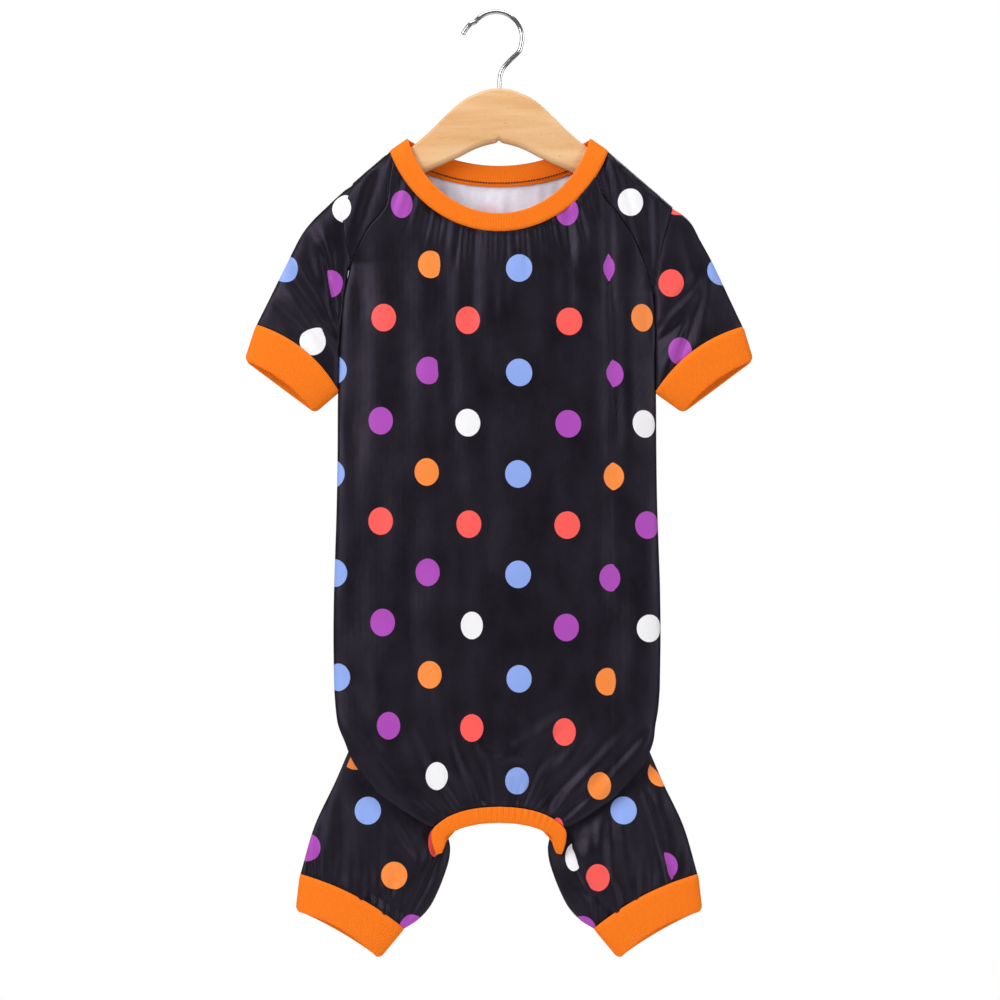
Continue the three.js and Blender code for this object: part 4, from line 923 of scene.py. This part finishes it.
def rib_knit():
    material, tree, surface = new_material("orange cotton rib knit")
    flat = add(tree, "UVMap", uv_map="cloth").outputs["UV"]
    rib_relief_and_groove_shade = add(tree, "TexWave", {"Vector": flat, "Scale": 240.0, "Distortion": 0.3, "Detail": 1.0,
                                 "Detail Scale": 1.5}, bands_direction="X").outputs["Fac"]
    fibres = clouds(tree, own_space(tree), 700.0, 4.0, 0.7)
    spread = span(tree, fibres, 0.3, 0.7, 0.0, 0.16)
    put(tree, surface, {
        # Painted shade: the colour follows the same rib wave as the bump, darker orange in each groove and
        # lighter on each crest.
        "Base Color": mix(tree, spread, mix(tree, rib_relief_and_groove_shade, "f56802", "ff8410"), "ff9a38"),
        "Normal": bumps(tree, part_of(tree, fibres, 0.12, rib_relief_and_groove_shade), 0.4, 0.0004),
        "Roughness": 0.82, "Specular IOR Level": 0.22,
        "Sheen Weight": 0.05, "Sheen Roughness": 0.5, "Sheen Tint": linear("ffb27a")})
    return material


rib = rib_knit()


def doubled_band(name, skin, around, width, turned_in=0.0, proud=0.45, thick=2.1):
    fold = thick / 2 / width
    path = [(v, proud * math.sin(math.pi * min(v * 3, 0.5))) for v in np.linspace(0, 1 - fold, 9)]
    path += [(1 - fold + fold * math.sin(a), proud - thick / 2 + thick / 2 * math.cos(a))
             for a in np.linspace(0, math.pi, 9)[1:]]
    path += [(v, proud - thick) for v in np.linspace(1 - fold, 0, 8)[1:]]
    if turned_in:
        path += [(-turned_in / width, proud - thick - 1.1), (-turned_in / width, proud - thick - 0.5)]
    path += [(0, -1.2), (0, 0)]
    levels = [round(max(min(v, 1), -0.3), 6) for v, _ in path]

    def ring(v):
        return np.array([skin(i / around, v) for i in range(around + 1)])

    base, normals, step = {}, {}, 0.02
    for v in set(levels):
        base[v] = ring(v)
        normals[v] = cloth_normals(np.stack([ring(v - step), base[v], ring(v + step)]), True)[1]
    points = np.stack([base[v] + normals[v] * off for v, (_, off) in zip(levels, path)])
    run = running_total(np.linalg.norm(np.diff(points, axis=1), axis=2).max(axis=0))
    across = running_total(np.array([math.hypot((b[0] - a[0]) * width, b[1] - a[1])
                                     for a, b in zip(path, path[1:])]))
    flat = np.stack(np.meshgrid(run, across), axis=-1)
    bm = laid_grid(points, round_u=True, round_v=True, flat=flat)
    bmesh.ops.recalc_face_normals(bm, faces=bm.faces)
    piece = as_piece(name, bm, rib)
    return piece


def cuff_skin(side, top, top_bow, top_depth, bottom, depth):
    outer_end, inner_end, bow, drop = bottom
    mouth = math.dist(outer_end, inner_end)

    def place(u, t):
        share, facing, deep = round_tube(u)
        to_corner = CUFF_CORNER - min(min(share, 1 - share) * mouth, CUFF_CORNER)
        end = CUFF_LENGTH - CUFF_CORNER + math.sqrt(CUFF_CORNER ** 2 - to_corner ** 2)
        down = between(-CUFF_LAP, end, t) / CUFF_LENGTH
        outer = [between(top[0][k], outer_end[k], down) for k in (0, 1)]
        inner = [between(top[1][k], inner_end[k], down) for k in (0, 1)]
        behind = drop * down if facing > 0 else 0
        x, z = chord_point(outer, inner, share, between(top_bow, bow, down) + behind)
        return side.sign * x, facing * between(top_depth, depth, down) * deep, z
    return place


for side in (left, right):
    top = (side.outer_line(1), side.inner_line(1))
    skin = cuff_skin(side, top, sleeve_bow, sleeve_depth, sleeve_cuff_end, 8.4)
    cuff = doubled_band(f"sleeve_cuff_{side.name}_rib", skin, 150, CUFF_LENGTH)
    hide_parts(f"sleeve_cuff_{side.name}")

# Hind legs: wide tubes of the printed knit, their tops behind the rolled lower edge of the
# back panel, gathered at the bottom into the cuffs.
leg_outer = route([(111.5, -549.4), (114.9, -557.4), (123.4, -577), (138.4, -609), (149, -645.2)])
leg_inner = route([(38.5, -615.5), (36.6, -626), (39, -640), (50, -666.5), (60, -678.5), (71.4, -686)])
leg_bow, leg_depth = -5.1, 8.6


def leg_top(share, facing):
    def curve(q):
        return body_ring(wrap_at(q), q) if facing < 0 else belly_edge(max(q, LEG_TOP + 1e-6))

    first, last, here = curve(LEG_TOP), curve(3), curve(between(LEG_TOP, 3, share))
    (xo, zo), (xi, zi) = leg_outer(0), leg_inner(0)
    x = here[0] + (xo - first[0]) * (1 - share) ** 4 + (xi - last[0]) * share ** 4
    z = here[2] + (zo - first[2]) * (1 - share) ** 4 + (zi - last[2]) * share ** 4
    y = here[1] + 0.5 if facing < 0 else max(here[1], 4.5)
    aside = 0.5 if facing > 0 else 0
    return x + aside, y, z - aside


def leg_skin(side):
    def place(u, t):
        share, facing, deep = round_tube(u)
        down = between(0, 1 - GAP / 80, t)
        outer, inner = leg_outer(down), leg_inner(down)
        chord, bowed = chord_point(outer, inner, share, 0), chord_point(outer, inner, share, leg_bow)
        start = chord_point(leg_outer(0), leg_inner(0), share, 0)
        front, hidden = leg_top(share, -1), leg_top(share, 1)
        top = front if facing < 0 else hidden
        keep, end = 1 - ease(down / 0.35), ease(down / 0.9) ** 2
        inside = min(1, 6 * share) * min(1, 6 * (1 - share))
        x = chord[0] + (top[0] - start[0]) * keep * inside + (bowed[0] - chord[0]) * end
        z = chord[1] + (top[2] - start[1]) * keep * inside + (bowed[1] - chord[1]) * end
        half = max((hidden[1] - front[1]) / 2, 2.4)
        stay = 1 - ease((down - 0.12) / 0.3)
        y = between(facing * leg_depth * deep, (front[1] + hidden[1]) / 2 + facing * half * deep, stay)
        return side.sign * x, y, z
    return place


leg_folds = {
    "left": [(5, 1.6, (-105.8, -608), (-103, -646)), (4.5, -1.7, (-118, -600), (-117, -640)),
             (4, 1.6, (-63, -606), (-54.8, -624)), (4.5, 1.4, (-77, -617), (-67.5, -628)),
             (4.5, -1.6, (-76, -600), (-62, -630)), (2.6, -2.4, (-46.5, -632), (-54, -652), (-63, -669)),
             (4, 1.4, (-54, -634), (-62, -656)), (3.5, -1.8, (-85.5, -665), (-76.5, -671)),
             (3, -1.7, (-121.5, -647), (-122, -652)), (4.5, -1.5, (-90, -620), (-92, -656)),
             (4, 1.2, (-74, -656), (-82, -668)), (4, -1.4, (-132, -590), (-135, -630))],
    "right": [(2.6, -3, (101.6, -565), (114.2, -596.5), (123.5, -628.7), (129.8, -648)),
              (5, 1.7, (74.5, -598), (76, -628)), (4.5, 1.7, (92.5, -610), (95, -640)),
              (6, -1.8, (109, -600), (113, -640)), (4, -1.6, (84, -606), (85, -640)),
              (2.6, -2.4, (54.5, -625), (60.5, -640), (71, -664), (82, -674)),
              (3.5, 1.6, (85, -658), (88, -668)), (3.5, 1.4, (100, -640), (102, -656)),
              (4, 1.3, (66, -606), (67, -624)), (5, 1.2, (118, -580), (128, -612)),
              (4, -1.3, (92, -654), (95, -662))],
    "hidden": [(5, -1.9, (104, -566), (106, -630)), (4, -2, (84, -596), (82, -648)),
               (5, -2.2, (62, -606), (58, -662)),
               (5, -1.4, (130, -600), (128, -640)), (4, 1.3, (94, -590), (92, -640)),
               (4, 1.3, (72, -606), (70, -655)),
               (3.5, 1.1, (116, -580), (119, -636)), (3.5, -1.5, (50, -618), (50, -650)),
               (3.5, 1.3, (46, -640), (66, -676)), (3, -1.3, (56, -630), (74, -672))]}
leg_dots = {
    "left": [(-98.2, -596.6, "B", -1), (-133.5, -624.6, "P", -1, -10),
             (-78.4, -645.1, "O", -1), (-52.9, -620.5, "C", -1, 4.5, 0.45), (-108, -556, "O", -1),
             (-65.5, -684.5, "P", -1), (-110, -620, "C", 1), (-76, -650, "P", 1),
             (-128, -590, "W", 1), (-66, -618, "O", 1)],
    "right": [(93.2, -596.8, "B", -1), (111.6, -568.6, "O", -1, 9.8),
              (73.9, -647.4, "C", -1, 0, 0.86), (49.5, -631.5, "W", -1, 6.5, 0.62),
              (133.8, -638.5, "P", -1, -9.8),
              (64.5, -684.5, "P", -1), (108, -622, "O", 1), (78, -650, "W", 1),
              (130, -592, "C", 1), (64, -618, "P", 1)]}


def cuff_start(s):
    return chord_point(leg_outer(1), leg_inner(1), s, leg_bow), (0.15 - 0.3 * s, 1)


for side in (left, right):
    points, x, y, z, u, t = cloth_grid(leg_skin(side), 152, 72)
    height = two_sided(leg_folds, side, x, y, z) + slow_wave(points, 18, 0.8)
    height *= from_edge(y) * ease((t - 0.1) * 5)
    gathers = gather_folds(dice, 9, cuff_start, 17, 2.4, 1.6)
    height += fold_height(gathers, x * side.sign, z) * from_edge(y) * ease((t - 0.5) * 4)
    height -= seam_dip((1 - t) * 80, 0.5) * from_edge(y)
    flat = tube_flat(points)
    if side is right:
        # two creases that hide part of a dot each
        outer_crease = np.interp(z, (-648, -628.7, -596.5, -565), (129.8, 123.5, 114.2, 101.6))
        inner_crease = np.interp(z, (-674, -664, -640, -625), (82, 71, 60.5, 54.5))
        taken = ease((x - outer_crease + 0.8) / 1.6) * ease((-600 - z) / 14)
        taken += ease((x - inner_crease + 0.8) / 1.6) * ease((-612 - z) / 8)
        flat[..., 0] += 12 * np.where(y < 0, taken, 0)
    points = points + cloth_normals(points, True) * height[..., None]
    dots = dots_on(points, flat, leg_dots[side.name])
    cloth_piece(f"leg_{side.name}_cloth", points, flat, dots, True)
    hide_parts(f"leg_{side.name}")

# Cuffs of the legs: the same orange rib knit, folded double and stretched a little round
# the gathered cloth.
leg_cuff_end = ((152.2, -672.4), (90, -708.3), -5.5, 3.6)
for side in (left, right):
    skin = cuff_skin(side, (leg_outer(1), leg_inner(1)), leg_bow, leg_depth, leg_cuff_end, 8.6)
    cuff = doubled_band(f"leg_cuff_{side.name}_rib", skin, 170, CUFF_LENGTH)
    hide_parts(f"leg_cuff_{side.name}")


# Neck band: a long strip of the same rib knit, folded double and stretched on as it was sewn,
# so that the cloth below it gathers. Its raw edges turn down inside, under a line of stitches.
NECK_WIDTH = 14


def neck_skin(u, v):
    angle = 2 * math.pi * u - math.pi / 2
    swing, facing = math.sin(angle), -1 if math.cos(angle) > 0 else 1
    if facing < 0:
        seam, fold = (on_ellipse(ring, ring.end * swing) for ring in (neck_seam, neck_fold))
    else:
        seam = hidden_curve(hidden_seam, neck_point, swing)
        fold = hidden_curve(hidden_fold, peak_point, swing)
    if v < 0:
        v *= float(ease((1 - abs(swing)) * 12)) if facing > 0 else 0.02
    share = between(-0.5 / NECK_WIDTH, 1, v)
    fold_depth = neck_fold.depth * abs(math.cos(angle)) ** 0.35
    depth = between(body_depth(*seam), fold_depth, share)
    return between(seam[0], fold[0], share), facing * depth, between(seam[1], fold[1], share)


neck = doubled_band("neck_band_rib", neck_skin, 320, NECK_WIDTH, turned_in=2.4)
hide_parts("neck_band")

# The stitches are real thread; their dark brown is painted shade of the needle holes and the groove they sink
# into.
thread, tree, surface = new_material("spun polyester sewing thread")
plies = clouds(tree, own_space(tree), 2200.0, 2.0)
put(tree, surface, {"Base Color": mix(tree, plies, "4a1a04", "7a3410"), "Roughness": 0.6})
bm = bmesh.new()
for k in range(64):
    share = between(-0.82, 0.82, k / 63)
    (xa, za), (xb, zb) = (hidden_curve(hidden_seam, neck_point, s) for s in (share - 0.004, share + 0.004))
    x, z = (xa + xb) / 2, (za + zb) / 2 + 0.3
    stitch = bmesh.ops.create_uvsphere(bm, u_segments=8, v_segments=5, radius=0.0007)["verts"]
    bmesh.ops.scale(bm, vec=(1.5, 0.7, 0.9), verts=stitch)
    lean = math.atan2(zb - za, xb - xa)
    cos, sin = math.cos(lean), math.sin(lean)
    for vert in stitch:
        px, pz = vert.co.x, vert.co.z
        vert.co.x, vert.co.z = px * cos - pz * sin, px * sin + pz * cos
    bmesh.ops.translate(bm, vec=Vector((x, body_depth(x, z) - 3.3, z)) * 0.001, verts=stitch)
stitches = as_piece("neck_stitches", bm, thread)

# Rear binding: a strip of orange rib knit folded over the raw edge of the rear opening and
# sewn down; it draws the cloth into gathers and turns under at both ends.
# x, y, z of the sewn edge, the way the free edge points, and the strip's width
binding_half = route([
    (0, -11, -595.1, 0, 0, -1, 10.6), (13.4, -11, -595.9, -0.06, 0, -1, 10.6),
    (26.3, -10.7, -598.3, -0.2, 0, -0.98, 10.6),
    (36.5, -10.3, -602.1, -0.4, 0, -0.92, 10.4), (44, -9.9, -607, -0.62, 0, -0.78, 10),
    (48.6, -9.6, -612, -0.86, 0, -0.5, 10.4),
    (49, -9.3, -618, -0.98, 0, -0.2, 9.6), (47.8, -8.8, -625, -1, 0, 0, 6.6),
    (46.4, -7.6, -628.6, -0.9, 0, 0.3, 4.2),
    (43.6, -6.6, -623, -0.9, 0, 0.3, 3), (38.4, -5.6, -614, -0.9, 0, 0.1, 4.4),
    (35, -1, -606.5, -0.9, 0, -0.3, 6.5),
    (33.6, 6, -602, -0.8, 0, -0.6, 8), (28.6, 11.2, -595.8, -0.6, 0, -0.8, 9.6),
    (15, 12.4, -585, -0.3, 0, -0.95, 10.2),
    (0, 12.8, -581.2, 0, 0, -1, 10.4)])


def binding_place(s):
    t = 1 - abs(2 * s - 1)
    row = np.array(binding_half(t))
    if s > 0.5:
        row[[0, 3]] *= -1
    return row


def binding_skin(u, s):
    here, before, after = binding_place(s), binding_place((s - 0.002) % 1), binding_place((s + 0.002) % 1)
    across = here[3:6] / np.linalg.norm(here[3:6])
    flat_way = np.cross(after[:3] - before[:3], across)
    flat_way /= np.linalg.norm(flat_way)
    c, t = math.cos(2 * math.pi * u), math.sin(2 * math.pi * u)
    out = 0.43 - 0.57 * math.copysign(abs(c) ** 0.6, c)
    on_arch = float(ease((46 - abs(here[0])) / 12)) if here[1] < -9 else 0
    ripple = 0.45 * on_arch * math.cos(math.pi * 17 * here[0] / 40 + 0.6 * math.sin(here[0] / 7)) * (1 - out)
    side = 1.2 * math.copysign(abs(t) ** 0.6, t) + ripple
    return tuple(here[:3] + across * out * here[6] + flat_way * side)


points = grid_points(binding_skin, 28, 420)
run = running_total(np.linalg.norm(np.diff(points[:, 0], axis=0), axis=1))
flat = np.stack(np.meshgrid(run, np.linspace(0, 24, 29), indexing="ij"), axis=-1)
bm = laid_grid(points, round_u=True, round_v=True, flat=flat)
bmesh.ops.recalc_face_normals(bm, faces=bm.faces)
binding = as_piece("rear_binding_rib", bm, rib)
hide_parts("rear_binding")

# Floor: a round pale board well below the costume, which hangs clear of it.
bm = bmesh.new()
bmesh.ops.create_circle(bm, cap_ends=True, segments=96, radius=0.75)
bmesh.ops.translate(bm, vec=(0, 0, -0.92), verts=bm.verts)
board = bpy.data.meshes.new("floor")
bm.to_mesh(board)
bm.free()
paper, tree, surface = new_material("pale studio floor")
put(tree, surface, {"Base Color": linear("f4f4f4"), "Roughness": 0.9})
board.materials.append(paper)
floor = bpy.data.objects.new("floor", board)
bpy.context.collection.objects.link(floor)
